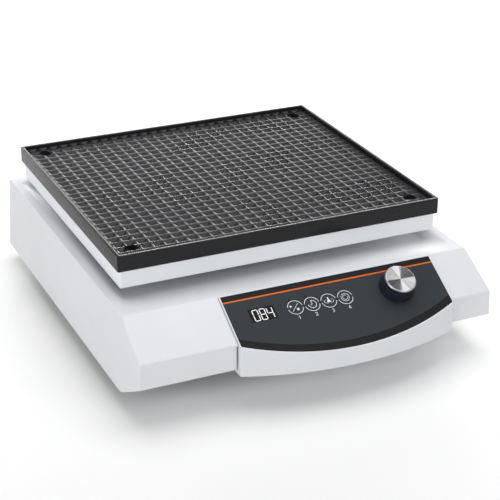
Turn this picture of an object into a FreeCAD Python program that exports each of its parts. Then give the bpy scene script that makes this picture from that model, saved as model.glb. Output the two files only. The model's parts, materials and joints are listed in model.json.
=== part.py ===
import FreeCAD, Part
import math
import os

# Bench orbital shaker. Millimetres, +Z up, the operator's side faces -Y.
# Origin: on the table, under the middle of the outer box. The crank turns about a vertical axis,
# and the platform rides on its eccentric pin, held square by three idler cranks.

# ------------------------------------------------------------------ housing
BODY_WIDTH = 314.8          # across the top
BODY_DRAFT = 2.84           # each side wall and the back wall lean out by this much to the bottom
BODY_DEPTH = 353.0          # front face to the foot of the back wall
BODY_HEIGHT = 66.7
SLOPE_RUN = 41.0            # sloping front, horizontal and vertical extent
SLOPE_DROP = 23.2
FRONT_FACE_HEIGHT = 22.2
UNDERCUT_RUN = 38.2         # below the front face the housing draws back to the base plate
WALL = 2.0
EDGE_ROUND = 1.6
BASE_LIP = 3.0              # ledge round the bottom opening
BASE_THICKNESS = 2.0
FIT_GAP = 0.4               # loose fit between separate covers

# ------------------------------------------------------------------ drip pan in the housing's top
PAN_DEPTH = 5.0
PAN_RIM_SIDE = 7.4          # flat rim before the wall rolls down
PAN_RIM_BACK = 5.0
PAN_ROLL_SIDE = 13.0        # horizontal run of the rolled wall
PAN_ROLL_BACK = 9.0
PAN_ROLL_FRONT = 34.0
PAN_CORNER = 16.0
PAN_STEPS = 8
COLLAR_HEIGHT = 3.6         # upstand round each shaft hole in the pan
COLLAR_WALL = 2.4

# ------------------------------------------------------------------ feet
FOOT_HEIGHT = 16.0
FOOT_RADIUS = 15.0
FOOT_INSET_SIDE = 34.0      # foot centre in from the side of the base
FOOT_INSET_FRONT = 52.0
FOOT_INSET_BACK = 34.0
FOOT_RECESS = 9.0           # depth of the pocket that hides the screw's head
FOOT_SCREW = 2.5            # M5 radius

# ------------------------------------------------------------------ operating console
CONSOLE_LEFT = -75.0
CONSOLE_RIGHT = 119.5
CONSOLE_REACH = 23.5        # how far the bowed front stands out from the front face
CONSOLE_BOW = 261.0         # radius of the bowed front in plan
CONSOLE_CORNER = 2.2        # round of the two front uprights
CONSOLE_RISE = 2.0          # panel above the sloping front
CONSOLE_BOTTOM = 17.0       # above the housing's bottom
CONSOLE_TOP_EDGE = 1.5      # down the slope from its top edge
CONSOLE_WALL = 2.5
CONSOLE_SEAM = 1.3          # wider gap beside the console in the upright front face
CONSOLE_TUCK = 6.0          # how deep the console goes in behind the housing's skin
OVERLAY_INSET = 0.8
OVERLAY_THICKNESS = 0.6

# ------------------------------------------------------------------ controls, on the panel
# "down" is measured down the slope from its top edge, heights from the sloping front itself.
KEY_COUNT = 4
KEY_FIRST_X = -16.5
KEY_PITCH = 15.1
KEY_DOWN = 25.5
KEY_RADIUS = 7.0
KEY_GAP = 0.3
KEY_TRAVEL = 0.4
DISPLAY_X = -45.5
DISPLAY_DOWN = 25.2
DISPLAY_SIZE = (22.2, 12.6)
LED_DOWN = 17.7
LED_RADIUS = 1.1
LED_BACK = 2.4              # each lamp sits this far left of its key's centre
KNOB_X = 76.2
KNOB_DOWN = 26.5
KNOB_RADIUS = 15.2
KNOB_CAP_RADIUS = 13.3
KNOB_HEIGHT = 13.0
KNOB_CAP_THICKNESS = 1.5
ENCODER_SHAFT = 3.0
BOARD_LEVEL = -8.0          # top of the control board
BOARD_THICKNESS = 1.6
BOARD_LEFT = -66.0
BOARD_RIGHT = 108.0
BOARD_UPPER = 6.5
BOARD_LOWER = 44.0

# ------------------------------------------------------------------ platform and mat
PLATFORM_WIDTH = 290.0
PLATFORM_DEPTH = 261.4
PLATFORM_GAP = 6.3          # under the flange, above the housing's top
PLATFORM_HEIGHT = 21.3
PLATFORM_SHEET = 2.0
PLATFORM_CORNER = 1.2
MAT_SKIRT = 2.5             # rubber outside the platform's flange
MAT_FLOOR = 5.2             # the ribs' tops, above the sheet
MAT_RIM_HEIGHT = 2.8        # rim above the ribs
MAT_RIM_WIDTH = 3.2
MAT_CORNER = 1.6
MAT_OVERLAP = 6.0           # skirt down over the flange
MAT_HOLE = 6.0
MAT_FIT = 0.15
MAT_INSERT = 11.0           # corner pad's edge, inward from its hole's centre
MAT_INSERT_GAP = 0.1
HOLE_SPACING_X = 258.0      # accessory holes, centre to centre
HOLE_SPACING_Y = 230.0
ACCESSORY_THREAD = 2.5      # M6 core radius
BUSH_RADIUS = 4.5
CARRIER = (105.0, 92.0)     # half width and half depth of the cast plate under the sheet
CARRIER_THICKNESS = 5.0
CARRIER_WINDOW = (36.0, 34.0)
CARRIER_WINDOW_PLACE = (58.0, 50.0)
CARRIER_HUB = 21.0
CARRIER_BOSS = 14.5

# ------------------------------------------------------------------ drive
ORBIT_RADIUS = 5.0
CRANK_SETBACK = 159.3       # crank axis behind the slope's top edge
RUN_FIT = 0.05              # radial running clearance
SEAT_FIT = 0.03             # radial clearance of parts that are fixed to each other
CHASSIS_LEVEL = 24.0        # underside of the chassis plate above the housing's bottom
CHASSIS_THICKNESS = 6.0
CHASSIS_MARGIN = 30.0       # plate beyond the idler axes
MAIN_BEARING = (8.5, 20.0, 12.0)            # bore radius, outer radius, width
IDLER_BEARING = (5.0, 13.0, 8.0)
HUB_BEARING = (7.5, 16.0, 9.0)
PIN_BEARING = (4.0, 11.0, 7.0)
MAIN_SHAFT = MAIN_BEARING[0]
MAIN_HOUSING = 26.0
MAIN_FLANGE = 37.0
MAIN_SCREW_CIRCLE = 31.5
IDLER_HOUSING = 17.0
IDLER_RADIUS = 95.0         # idler axes round the crank axis
IDLER_ANGLES = (90.0, 210.0, 330.0)
MOTOR_ANGLE = 30.0
MOTOR_RADIUS = 28.0
MOTOR_SHAFT = 4.0
MOTOR_SCREW_CIRCLE = 20.0
PULLEY_MAIN = 48.0
PULLEY_MOTOR = 12.0
HUB_RADIUS = 18.0           # of the main pulley and of the counterweight
BELT_WIDTH = 9.0
BELT_THICKNESS = 2.0
BELT_CLEAR = 0.3
BELT_LEVEL = 14.5           # belt above the chassis plate
COUNTERWEIGHT_RADIUS = 75.0
COUNTERWEIGHT_THICKNESS = 8.0
COUNTERWEIGHT_ARC = 200.0

# ------------------------------------------------------------------ mains side, on the back wall
PORT_PANEL = (-146.0, -70.0, 12.0, 50.0)    # left, right, bottom, top of the recessed panel
PORT_RECESS = 4.8
INLET_X = -126.0
INLET_FLANGE = (31.0, 34.0)
INLET_SOCKET = (24.0, 16.4, 17.0)
DRAWER = (22.0, 6.0, 20.0)
SWITCH_X = -89.0
SWITCH_FLANGE = (17.0, 23.0)
ROCKER_WIDTH = 12.0
ROCKER_RADIUS = 8.6
ROCKER_TILT = 10.0          # each way from the middle

# ------------------------------------------------------------------ derived places
def circle_points(x, y, radius, angles):
    return [(x + radius * math.cos(math.radians(a)), y + radius * math.sin(math.radians(a))) for a in angles]


TOTAL_DEPTH = BODY_DEPTH + CONSOLE_REACH
BACK = TOTAL_DEPTH / 2
FRONT_FACE = BACK - BODY_DEPTH
SLOPE_TOP = FRONT_FACE + SLOPE_RUN
UNDERCUT_BACK = FRONT_FACE + UNDERCUT_RUN
BASE = FOOT_HEIGHT
TOP = BASE + BODY_HEIGHT
SLOPE_FOOT = TOP - SLOPE_DROP
FACE_FOOT = SLOPE_FOOT - FRONT_FACE_HEIGHT
BASE_HALF = BODY_WIDTH / 2 + BODY_DRAFT
SLOPE_ANGLE = math.degrees(math.atan2(SLOPE_DROP, SLOPE_RUN))
CONSOLE_MIDDLE = (CONSOLE_LEFT + CONSOLE_RIGHT) / 2
CONSOLE_ARC_Y = -BACK + CONSOLE_BOW
CONSOLE_FLOOR = BASE + CONSOLE_BOTTOM
INLET_Z = BASE + (PORT_PANEL[2] + PORT_PANEL[3]) / 2
PANEL = CONSOLE_RISE
CRANK_Y = SLOPE_TOP + CRANK_SETBACK
PLATFORM_Y = CRANK_Y + ORBIT_RADIUS
PAN_FLOOR = TOP - PAN_DEPTH
FLANGE_BOTTOM = TOP + PLATFORM_GAP
SHEET_TOP = FLANGE_BOTTOM + PLATFORM_HEIGHT
SHEET_BOTTOM = SHEET_TOP - PLATFORM_SHEET
PLATE_BOTTOM = BASE + CHASSIS_LEVEL
PLATE_TOP = PLATE_BOTTOM + CHASSIS_THICKNESS
FLOOR = BASE + BASE_THICKNESS
BELT_BOTTOM = PLATE_TOP + BELT_LEVEL
WEIGHT_BOTTOM = PAN_FLOOR + COLLAR_HEIGHT + 1.7
CLAMP_Y = CRANK_Y + 13.5    # clamp bolt across the counterweight's hub
CLAMP_SEAT = 8.0
WEB_BOTTOM = WEIGHT_BOTTOM + COUNTERWEIGHT_THICKNESS + 0.2
WEB_TOP = WEB_BOTTOM + 3.8
IDLER_WEB_BOTTOM = WEIGHT_BOTTOM + 2.0
IDLER_WEB_TOP = IDLER_WEB_BOTTOM + 5.0
CARRIER_BOTTOM = SHEET_BOTTOM - CARRIER_THICKNESS
IDLERS = circle_points(0.0, CRANK_Y, IDLER_RADIUS, IDLER_ANGLES)
MOTOR = circle_points(0.0, CRANK_Y, IDLER_RADIUS, (MOTOR_ANGLE,))[0]
ACCESSORY_HOLES = [(sx * HOLE_SPACING_X / 2, PLATFORM_Y + sy * HOLE_SPACING_Y / 2)
                   for sx in (-1, 1) for sy in (-1, 1)]
FEET = [(sx * (BASE_HALF - FOOT_INSET_SIDE), y) for sx in (-1, 1)
        for y in (UNDERCUT_BACK + FOOT_INSET_FRONT, BACK - FOOT_INSET_BACK)]
KEYS_X = [KEY_FIRST_X + KEY_PITCH * i for i in range(KEY_COUNT)]
LEDS_X = [KEYS_X[i] - LED_BACK for i in range(2)]


# ------------------------------------------------------------------ shape helpers
def vec(x, y, z=0.0):
    return FreeCAD.Vector(x, y, z)


def box(x0, x1, y0, y1, z0, z1):
    return Part.makeBox(x1 - x0, y1 - y0, z1 - z0, vec(x0, y0, z0))


def rod(radius, z0, z1, x=0.0, y=0.0):
    return Part.makeCylinder(radius, z1 - z0, vec(x, y, z0))


def cone(radius0, radius1, z0, z1, x=0.0, y=0.0):
    return Part.makeCone(radius0, radius1, z1 - z0, vec(x, y, z0))


def ring(inner, outer, z0, z1, x=0.0, y=0.0):
    return rod(outer, z0, z1, x, y).cut(rod(inner, z0 - 1, z1 + 1, x, y))


def hexagon(across, z0, z1, x=0.0, y=0.0):
    radius = across / math.sqrt(3)
    points = [vec(x + radius * math.cos(math.radians(60 * i)), y + radius * math.sin(math.radians(60 * i)), z0)
              for i in range(7)]
    return Part.Face(Part.makePolygon(points)).extrude(vec(0, 0, z1 - z0))


def rounded_outline(x0, x1, y0, y1, radius, z):
    """Closed wire: a rectangle in plan with round corners."""
    k = radius * (1 - math.sqrt(0.5))
    sides = [(vec(x0 + radius, y0, z), vec(x1 - radius, y0, z)), (vec(x1, y0 + radius, z), vec(x1, y1 - radius, z)),
             (vec(x1 - radius, y1, z), vec(x0 + radius, y1, z)), (vec(x0, y1 - radius, z), vec(x0, y0 + radius, z))]
    middles = [vec(x1 - k, y0 + k, z), vec(x1 - k, y1 - k, z), vec(x0 + k, y1 - k, z), vec(x0 + k, y0 + k, z)]
    edges = []
    for i in range(4):
        edges.append(Part.LineSegment(*sides[i]).toShape())
        edges.append(Part.Arc(sides[i][1], middles[i], sides[(i + 1) % 4][0]).toShape())
    return Part.Wire(edges)


def slab(x0, x1, y0, y1, z0, z1, radius):
    """Plate with round vertical corners."""
    return Part.Face(rounded_outline(x0, x1, y0, y1, radius, z0)).extrude(vec(0, 0, z1 - z0))


def profile_block(points, x0, x1):
    """Prism along X from (y, z) points."""
    loop = [vec(x0, y, z) for y, z in points]
    return Part.Face(Part.makePolygon(loop + loop[:1])).extrude(vec(x1 - x0, 0, 0))


def inset_points(points, distance):
    """Move every side of a clockwise-in-(y, z) polygon inwards by the same distance."""
    moved = []
    count = len(points)
    for i in range(count):
        lines = []
        for a, b in ((points[i - 1], points[i]), (points[i], points[(i + 1) % count])):
            dy, dz = b[0] - a[0], b[1] - a[1]
            length = math.hypot(dy, dz)
            ny, nz = dz / length, -dy / length
            lines.append((ny, nz, ny * a[0] + nz * a[1] + distance))
        (a1, b1, c1), (a2, b2, c2) = lines
        det = a1 * b2 - a2 * b1
        moved.append(((c1 * b2 - c2 * b1) / det, (a1 * c2 - a2 * c1) / det))
    return moved


def fuse(shapes):
    result = shapes[0]
    for shape in shapes[1:]:
        result = result.fuse(shape)
    return result.removeSplitter()


def cut(shape, tools):
    for tool in tools:
        shape = shape.cut(tool)
    return shape


def on_panel(shape):
    """Take a shape from panel axes (X, up the slope, out of the slope) to its place."""
    placement = FreeCAD.Placement(vec(0, SLOPE_TOP, TOP), FreeCAD.Rotation(vec(1, 0, 0), SLOPE_ANGLE))
    moved = shape.copy()
    moved.Placement = placement.multiply(moved.Placement)
    return moved


def along_x(shape, x, y, z):
    """Turn a shape built along +Z so that it points along +X, then move it."""
    moved = shape.copy()
    placement = FreeCAD.Placement(vec(x, y, z), FreeCAD.Rotation(vec(0, 1, 0), 90))
    moved.Placement = placement.multiply(moved.Placement)
    return moved


def bearing(size, z0, x, y, bore_clear=RUN_FIT):
    """Ball bearing with its rings and shields as one solid; the shields lie a little below the rings."""
    inner, outer, width = size
    solid = ring(inner + bore_clear, outer - SEAT_FIT, z0, z0 + width, x, y)
    step = (outer - inner) / 4
    for z in (z0 - 1, z0 + width - 0.4):
        solid = solid.cut(ring(inner + step, outer - step, z, z + 1.4, x, y))
    return solid


def pan_head_screw(radius, head_radius, head_height, seat, end, x, y):
    """Screw along Z: head on the seat, shank running from the seat to the end."""
    up = end > seat
    head = (seat - head_height, seat) if up else (seat, seat + head_height)
    drive = (head[0] - 0.1, head[0] + head_height / 2) if up else (head[1] - head_height / 2, head[1] + 0.1)
    shank = (seat - 0.2, end) if up else (end, seat + 0.2)
    solid = rod(head_radius, head[0], head[1], x, y).fuse(rod(radius, shank[0], shank[1], x, y))
    return solid.cut(hexagon(head_radius, drive[0], drive[1], x, y))


def group(solids):
    return Part.makeCompound(solids)


# ------------------------------------------------------------------ housing shell
def body_points():
    return [(BACK, BASE), (UNDERCUT_BACK, BASE), (FRONT_FACE, FACE_FOOT), (FRONT_FACE, SLOPE_FOOT),
            (SLOPE_TOP, TOP), (BACK, TOP)]


def drafted_block(inset):
    """Block whose two sides and back lean out towards the bottom."""
    def corners(z):
        lean = BODY_DRAFT * (TOP - z) / BODY_HEIGHT
        half = BODY_WIDTH / 2 + lean - inset
        back = BACK - BODY_DRAFT + lean - inset
        front = FRONT_FACE - 50
        return [vec(-half, front, z), vec(half, front, z), vec(half, back, z), vec(-half, back, z)]
    low = corners(BASE - 20)
    high = corners(TOP + 20)
    loops = [low, high] + [[low[i - 1], low[i], high[i], high[i - 1]] for i in range(4)]
    faces = [Part.Face(Part.makePolygon(loop + loop[:1])) for loop in loops]
    return Part.makeSolid(Part.makeShell(faces))


def body_block(inset):
    wide = profile_block(inset_points(body_points(), inset), -BASE_HALF - 20, BASE_HALF + 20)
    return wide.common(drafted_block(inset))


def pan_block(grow):
    """The pan's hollow, or with grow its outside: a stack of outlines that follows the rolled wall."""
    outlines = []
    for i in range(PAN_STEPS + 1):
        t = i / PAN_STEPS
        z = TOP - PAN_DEPTH * (1 - math.cos(math.pi * t)) / 2 - grow
        half = BODY_WIDTH / 2 - PAN_RIM_SIDE - PAN_ROLL_SIDE * t + grow
        front = SLOPE_TOP + PAN_ROLL_FRONT * t - grow
        back = BACK - BODY_DRAFT - PAN_RIM_BACK - PAN_ROLL_BACK * t + grow
        outlines.append(rounded_outline(-half, half, front, back, PAN_CORNER, z))
    solid = Part.makeLoft(outlines, True, True)
    half = BODY_WIDTH / 2 - PAN_RIM_SIDE + grow
    back = BACK - BODY_DRAFT - PAN_RIM_BACK + grow
    return solid.fuse(slab(-half, half, SLOPE_TOP - grow, back, TOP - grow, TOP + 10, PAN_CORNER))


def console_plan(inset, z0, z1, back):
    """Console outline in plan, bowed at the front, as a vertical prism."""
    half = (CONSOLE_RIGHT - CONSOLE_LEFT) / 2 - inset
    bow = CONSOLE_BOW - inset
    radius = max(CONSOLE_CORNER - inset, 0.3)
    lean = math.asin((half - radius) / (bow - radius))

    def at(x, y):
        return vec(CONSOLE_MIDDLE + x, CONSOLE_ARC_Y + y, z0)

    def corner(side, angle):
        """A point of the corner's round, at an angle from straight ahead."""
        return at(side * (half - radius + radius * math.sin(angle)),
                  -(bow - radius) * math.cos(lean) - radius * math.cos(angle))
    turns = (lean, (lean + math.pi / 2) / 2, math.pi / 2)
    right = [corner(1, a) for a in turns]
    left = [corner(-1, a) for a in turns]
    rear_right, rear_left = at(half, back - CONSOLE_ARC_Y), at(-half, back - CONSOLE_ARC_Y)
    edges = [Part.Arc(left[0], at(0, -bow), right[0]).toShape(), Part.Arc(*right).toShape(),
             Part.LineSegment(right[2], rear_right).toShape(), Part.LineSegment(rear_right, rear_left).toShape(),
             Part.LineSegment(rear_left, left[2]).toShape(), Part.Arc(left[2], left[1], left[0]).toShape()]
    return Part.Face(Part.Wire(edges)).extrude(vec(0, 0, z1 - z0))


def below_panel(level):
    return on_panel(box(-400, 400, -400, 400, level - 400, level))


def console_block(inset, level, top_edge, bottom, tuck):
    """Solid console: under the panel, above its bottom, and only skin deep behind the housing's walls."""
    plan = console_plan(inset, bottom, TOP + 40, SLOPE_TOP + 20)
    solid = plan.common(below_panel(level)).common(on_panel(box(-400, 400, -400, -top_edge, -400, 400)))
    inside = body_block(tuck).fuse(box(-400, 400, FRONT_FACE + tuck, BACK, 0, FACE_FOOT + tuck))
    return solid.cut(inside)


def rear_panel():
    """Inner plate and pocket that hold the mains socket and switch."""
    left, right, low, high = PORT_PANEL
    plane = BACK - PORT_RECESS
    plate = box(left - WALL, right + WALL, plane - WALL, BACK, BASE + low - WALL, BASE + high + WALL)
    pocket = box(left, right, plane, BACK + 5, BASE + low, BASE + high)
    return plate.common(body_block(0)), pocket, plane


COVER_BOSSES = [(sx * (BASE_HALF - 11), y) for sx in (-1, 1)
                for y in (UNDERCUT_BACK + 16, (UNDERCUT_BACK + BACK) / 2, BACK - 13)]
SHAFT_HOLES = [(0.0, CRANK_Y, MAIN_SHAFT + 4.0)] + [(x, y, IDLER_BEARING[0] + 3.0) for x, y in IDLERS]
CONSOLE_EARS = [(x, down) for x in (CONSOLE_LEFT - 5.0, CONSOLE_RIGHT + 5.0) for down in (12.0, 36.0)]


def housing_cover():
    outer = body_block(0)
    edges = [e for e in outer.Edges if not (e.BoundBox.ZMax < BASE + 0.1)]
    outer = outer.makeFillet(EDGE_ROUND, edges)
    opening = box(-BASE_HALF + BASE_LIP, BASE_HALF - BASE_LIP, UNDERCUT_BACK + BASE_LIP, BACK - BASE_LIP,
                  BASE - 5, BASE + WALL + 1)
    plate, pocket, plane = rear_panel()
    solid = outer.cut(body_block(WALL)).cut(opening)
    pan_skin = pan_block(WALL).common(body_block(WALL / 2))
    collars = [rod(r + COLLAR_WALL, PAN_FLOOR - WALL / 2, PAN_FLOOR + COLLAR_HEIGHT, x, y) for x, y, r in SHAFT_HOLES]
    bosses = [rod(5.0, BASE + BASE_THICKNESS, TOP - WALL / 2, x, y) for x, y in COVER_BOSSES]
    keep = body_block(WALL / 2)
    solid = fuse([solid, pan_skin, plate] + [boss.common(keep) for boss in bosses])
    solid = solid.cut(pan_block(0))
    solid = fuse([solid] + collars)
    solid = cut(solid, [rod(r, PAN_FLOOR - 10, PAN_FLOOR + 20, x, y) for x, y, r in SHAFT_HOLES])
    solid = cut(solid, [rod(1.6, BASE - 1, BASE + 22, x, y) for x, y in COVER_BOSSES])
    solid = solid.cut(pocket)
    inlet_hole = box(INLET_X - INLET_FLANGE[0] / 2 + 2, INLET_X + INLET_FLANGE[0] / 2 - 2, plane - 10, plane + 1,
                     INLET_Z - INLET_FLANGE[1] / 2 + 2, INLET_Z + INLET_FLANGE[1] / 2 - 2)
    switch_hole = box(SWITCH_X - SWITCH_FLANGE[0] / 2 + 1.5, SWITCH_X + SWITCH_FLANGE[0] / 2 - 1.5, plane - 10,
                      plane + 1, INLET_Z - SWITCH_FLANGE[1] / 2 + 1.5, INLET_Z + SWITCH_FLANGE[1] / 2 - 1.5)
    solid = cut(solid, [inlet_hole, switch_hole])
    window = console_plan(-FIT_GAP, CONSOLE_FLOOR - FIT_GAP, TOP + 40, SLOPE_TOP + 20)
    window = window.common(on_panel(box(-400, 400, -400, -CONSOLE_TOP_EDGE + FIT_GAP, -400, 400)))
    window = window.cut(body_block(WALL + 2).common(box(-400, 400, SLOPE_TOP + 1, 400, 0, 400)))
    seam = console_plan(-CONSOLE_SEAM, CONSOLE_FLOOR - FIT_GAP, SLOPE_FOOT - EDGE_ROUND, FRONT_FACE + WALL)
    solid = cut(solid, [window, seam])
    return cut(solid, [on_panel(rod(1.2, -WALL - 1, -0.6, x, -down)) for x, down in CONSOLE_EARS])


def base_plate():
    margin = BASE_LIP + FIT_GAP
    solid = slab(-BASE_HALF + margin, BASE_HALF - margin, UNDERCUT_BACK + margin, BACK - margin,
                 BASE, FLOOR, 2.0)
    holes = [rod(2.1, BASE - 1, FLOOR + 1, x, y) for x, y in COVER_BOSSES]
    holes += [rod(FOOT_SCREW + 0.1, BASE - 1, FLOOR + 1, x, y) for x, y in FEET]
    holes += [rod(2.1, BASE - 1, FLOOR + 1, x, y) for x, y in PILLARS]
    slots = [box(x - 1.5, x + 1.5, CRANK_Y - 100, CRANK_Y - 60, BASE - 1, FLOOR + 1) for x in range(40, 81, 8)]
    return cut(solid, holes + slots)


def rubber_feet():
    feet = []
    for x, y in FEET:
        foot = cone(FOOT_RADIUS - 2, FOOT_RADIUS, 0, FOOT_HEIGHT, x, y)
        foot = cut(foot, [rod(7.0, -1, FOOT_RECESS, x, y), rod(FOOT_SCREW + 0.2, -1, FOOT_HEIGHT + 1, x, y)])
        feet.append(foot)
    return group(feet)


def foot_screws():
    return group([pan_head_screw(FOOT_SCREW, 4.6, 3.0, FOOT_RECESS, FLOOR + 5.0, x, y) for x, y in FEET])


def cover_screws():
    return group([pan_head_screw(1.5, 3.6, 2.2, BASE, BASE + 14, x, y) for x, y in COVER_BOSSES])


# ------------------------------------------------------------------ chassis and bearings
CHASSIS = (-IDLER_RADIUS * math.cos(math.radians(30)) - CHASSIS_MARGIN,
           IDLER_RADIUS * math.cos(math.radians(30)) + CHASSIS_MARGIN,
           CRANK_Y - IDLER_RADIUS / 2 - CHASSIS_MARGIN, CRANK_Y + IDLER_RADIUS + 20)
PILLARS = [(x, y) for x in (CHASSIS[0] + 9, CHASSIS[1] - 9) for y in (CHASSIS[2] + 9, CHASSIS[3] - 9)]
MAIN_SCREWS = circle_points(0.0, CRANK_Y, MAIN_SCREW_CIRCLE, (0, 90, 180, 270))
MOTOR_SCREWS = circle_points(MOTOR[0], MOTOR[1], MOTOR_SCREW_CIRCLE, (45, 135, 225, 315))


def chassis_plate():
    solid = slab(CHASSIS[0], CHASSIS[1], CHASSIS[2], CHASSIS[3], PLATE_BOTTOM, PLATE_TOP, 8.0)
    holes = [rod(MAIN_HOUSING + 0.1, 0, 200, 0, CRANK_Y), rod(11.2, 0, 200, MOTOR[0], MOTOR[1])]
    holes += [rod(2.1, 0, 200, x, y) for x, y in MOTOR_SCREWS + MAIN_SCREWS]
    holes += [rod(2.6, 0, 200, x, y) for x, y in PILLARS]
    return cut(solid, holes)


def chassis_pillars():
    pillars = []
    for x, y in PILLARS:
        pillars.append(rod(7.0, FLOOR, PLATE_BOTTOM, x, y).cut(rod(2.1, FLOOR - 1, FLOOR + 9, x, y))
                       .cut(rod(2.6, PLATE_BOTTOM - 11, PLATE_BOTTOM + 1, x, y)))
    return group(pillars)


def chassis_screws():
    upper = [pan_head_screw(2.5, 4.6, 3.5, PLATE_TOP, PLATE_BOTTOM - 9, x, y) for x, y in PILLARS]
    lower = [pan_head_screw(2.0, 4.0, 2.4, BASE, FLOOR + 8, x, y) for x, y in PILLARS]
    return group(upper + lower)


MAIN_BEARING_LEVELS = (PLATE_BOTTOM - 14.0, PLATE_TOP - 1.0)
IDLER_BEARING_LEVELS = (PLATE_TOP + 2.0, PLATE_TOP + 15.0)
IDLER_HOUSING_TOP = IDLER_BEARING_LEVELS[1] + IDLER_BEARING[2]


def main_bearing_housing():
    low = MAIN_BEARING_LEVELS[0]
    high = MAIN_BEARING_LEVELS[1] + MAIN_BEARING[2]
    solid = rod(MAIN_HOUSING, low, high, 0, CRANK_Y).fuse(rod(MAIN_FLANGE, PLATE_TOP, PLATE_TOP + 4, 0, CRANK_Y))
    solid = cut(solid, [rod(MAIN_BEARING[1] - 3, low - 1, high + 1, 0, CRANK_Y)])
    for z in MAIN_BEARING_LEVELS:
        solid = solid.cut(rod(MAIN_BEARING[1], z, z + MAIN_BEARING[2], 0, CRANK_Y))
    return cut(solid, [rod(2.1, 0, 200, x, y) for x, y in MAIN_SCREWS])


def main_bearings():
    return group([bearing(MAIN_BEARING, z, 0, CRANK_Y) for z in MAIN_BEARING_LEVELS])


def housing_screws():
    main = [pan_head_screw(2.0, 3.5, 3.0, PLATE_TOP + 4, PLATE_BOTTOM, x, y) for x, y in MAIN_SCREWS]
    return group(main)


def idler_housings():
    housings = []
    for x, y in IDLERS:
        solid = rod(IDLER_HOUSING, PLATE_TOP, IDLER_HOUSING_TOP, x, y)
        solid = solid.fuse(rod(IDLER_HOUSING + 4, PLATE_TOP, PLATE_TOP + 1.9, x, y))
        solid = solid.cut(rod(IDLER_BEARING[1] - 2, PLATE_TOP - 1, IDLER_HOUSING_TOP + 1, x, y))
        for z in IDLER_BEARING_LEVELS:
            solid = solid.cut(rod(IDLER_BEARING[1], z, z + IDLER_BEARING[2], x, y))
        housings.append(solid)
    return group(housings)


def idler_bearings():
    return group([bearing(IDLER_BEARING, z, x, y) for x, y in IDLERS for z in IDLER_BEARING_LEVELS])


# ------------------------------------------------------------------ crankshaft
def main_shaft():
    journal = rod(MAIN_SHAFT - RUN_FIT, MAIN_BEARING_LEVELS[0] - 2, WEB_BOTTOM + 0.5, 0, CRANK_Y)
    web = rod(14.0, WEB_BOTTOM, WEB_TOP, 0, CRANK_Y)
    pin = rod(HUB_BEARING[0], WEB_TOP - 0.5, SHEET_BOTTOM - 1.5, 0, PLATFORM_Y)
    return fuse([journal, web, pin])


def pulley(radius, bore, flange, x, y):
    """Flanged belt pulley with its hub below."""
    low = BELT_BOTTOM
    high = low + BELT_WIDTH
    hub = max(bore + 5.0, 8.0)
    solid = fuse([rod(radius, low - 1.4, high + 1.4, x, y), rod(radius + flange, low - 1.4, low - BELT_CLEAR, x, y),
                  rod(radius + flange, high + BELT_CLEAR, high + 1.4, x, y), rod(hub, low - 1.8, high + 1.4, x, y)])
    return solid.cut(rod(bore, low - 20, high + 20, x, y))


def main_pulley():
    solid = pulley(PULLEY_MAIN, MAIN_SHAFT - RUN_FIT + SEAT_FIT, BELT_THICKNESS + 1.5, 0, CRANK_Y)
    dish = ring(HUB_RADIUS, PULLEY_MAIN - 6, BELT_BOTTOM + BELT_WIDTH - 2, BELT_BOTTOM + BELT_WIDTH + 5, 0, CRANK_Y)
    holes = [rod(6.0, 0, 200, x, y) for x, y in circle_points(0.0, CRANK_Y, 30.0, range(0, 360, 60))]
    return cut(solid, [dish] + holes)


def counterweight():
    """Fan-shaped weight opposite the eccentric pin, clamped on the shaft."""
    top = WEIGHT_BOTTOM + COUNTERWEIGHT_THICKNESS
    start = 270 - COUNTERWEIGHT_ARC / 2
    sector = Part.makeCylinder(COUNTERWEIGHT_RADIUS, COUNTERWEIGHT_THICKNESS, vec(0, CRANK_Y, WEIGHT_BOTTOM),
                               vec(0, 0, 1), COUNTERWEIGHT_ARC)
    sector.rotate(vec(0, CRANK_Y, 0), vec(0, 0, 1), start)
    solid = sector.fuse(rod(HUB_RADIUS, WEIGHT_BOTTOM, top, 0, CRANK_Y)).removeSplitter()
    solid = solid.cut(rod(MAIN_SHAFT - RUN_FIT + SEAT_FIT, WEIGHT_BOTTOM - 1, top + 1, 0, CRANK_Y))
    split = box(-0.6, 0.6, CRANK_Y, CRANK_Y + 30, WEIGHT_BOTTOM - 1, top + 1)
    bolt = along_x(rod(1.7, -30, 30).fuse(rod(3.1, CLAMP_SEAT, 30)), 0, CLAMP_Y, (WEIGHT_BOTTOM + top) / 2)
    return cut(solid, [split, bolt])


def clamp_bolt():
    """Cap screw across the counterweight's split hub."""
    middle = WEIGHT_BOTTOM + COUNTERWEIGHT_THICKNESS / 2
    head = rod(2.8, CLAMP_SEAT, CLAMP_SEAT + 3.2).cut(hexagon(2.5, CLAMP_SEAT + 1.6, CLAMP_SEAT + 4))
    return along_x(rod(1.6, -11.0, CLAMP_SEAT + 0.2).fuse(head), 0, CLAMP_Y, middle)


# ------------------------------------------------------------------ idler cranks
def idler_crank(x, y):
    journal = rod(IDLER_BEARING[0], IDLER_BEARING_LEVELS[0] - 1, IDLER_WEB_BOTTOM + 0.5, x, y)
    web = rod(10.5, IDLER_WEB_BOTTOM, IDLER_WEB_TOP, x, y)
    pin = rod(PIN_BEARING[0], IDLER_WEB_TOP - 0.5, CARRIER_BOTTOM + 0.5, x, y + ORBIT_RADIUS)
    return fuse([journal, web, pin])


# ------------------------------------------------------------------ motor and belt
def motor_body():
    x, y = MOTOR
    solid = fuse([rod(MOTOR_RADIUS, FLOOR + 2, PLATE_BOTTOM, x, y), rod(11.0, PLATE_BOTTOM - 1, PLATE_TOP + 1, x, y)])
    solid = solid.cut(rod(MOTOR_SHAFT, FLOOR + 6, PLATE_TOP + 2, x, y))
    return cut(solid, [rod(2.0, PLATE_BOTTOM - 8, PLATE_BOTTOM + 1, sx, sy) for sx, sy in MOTOR_SCREWS])


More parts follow.
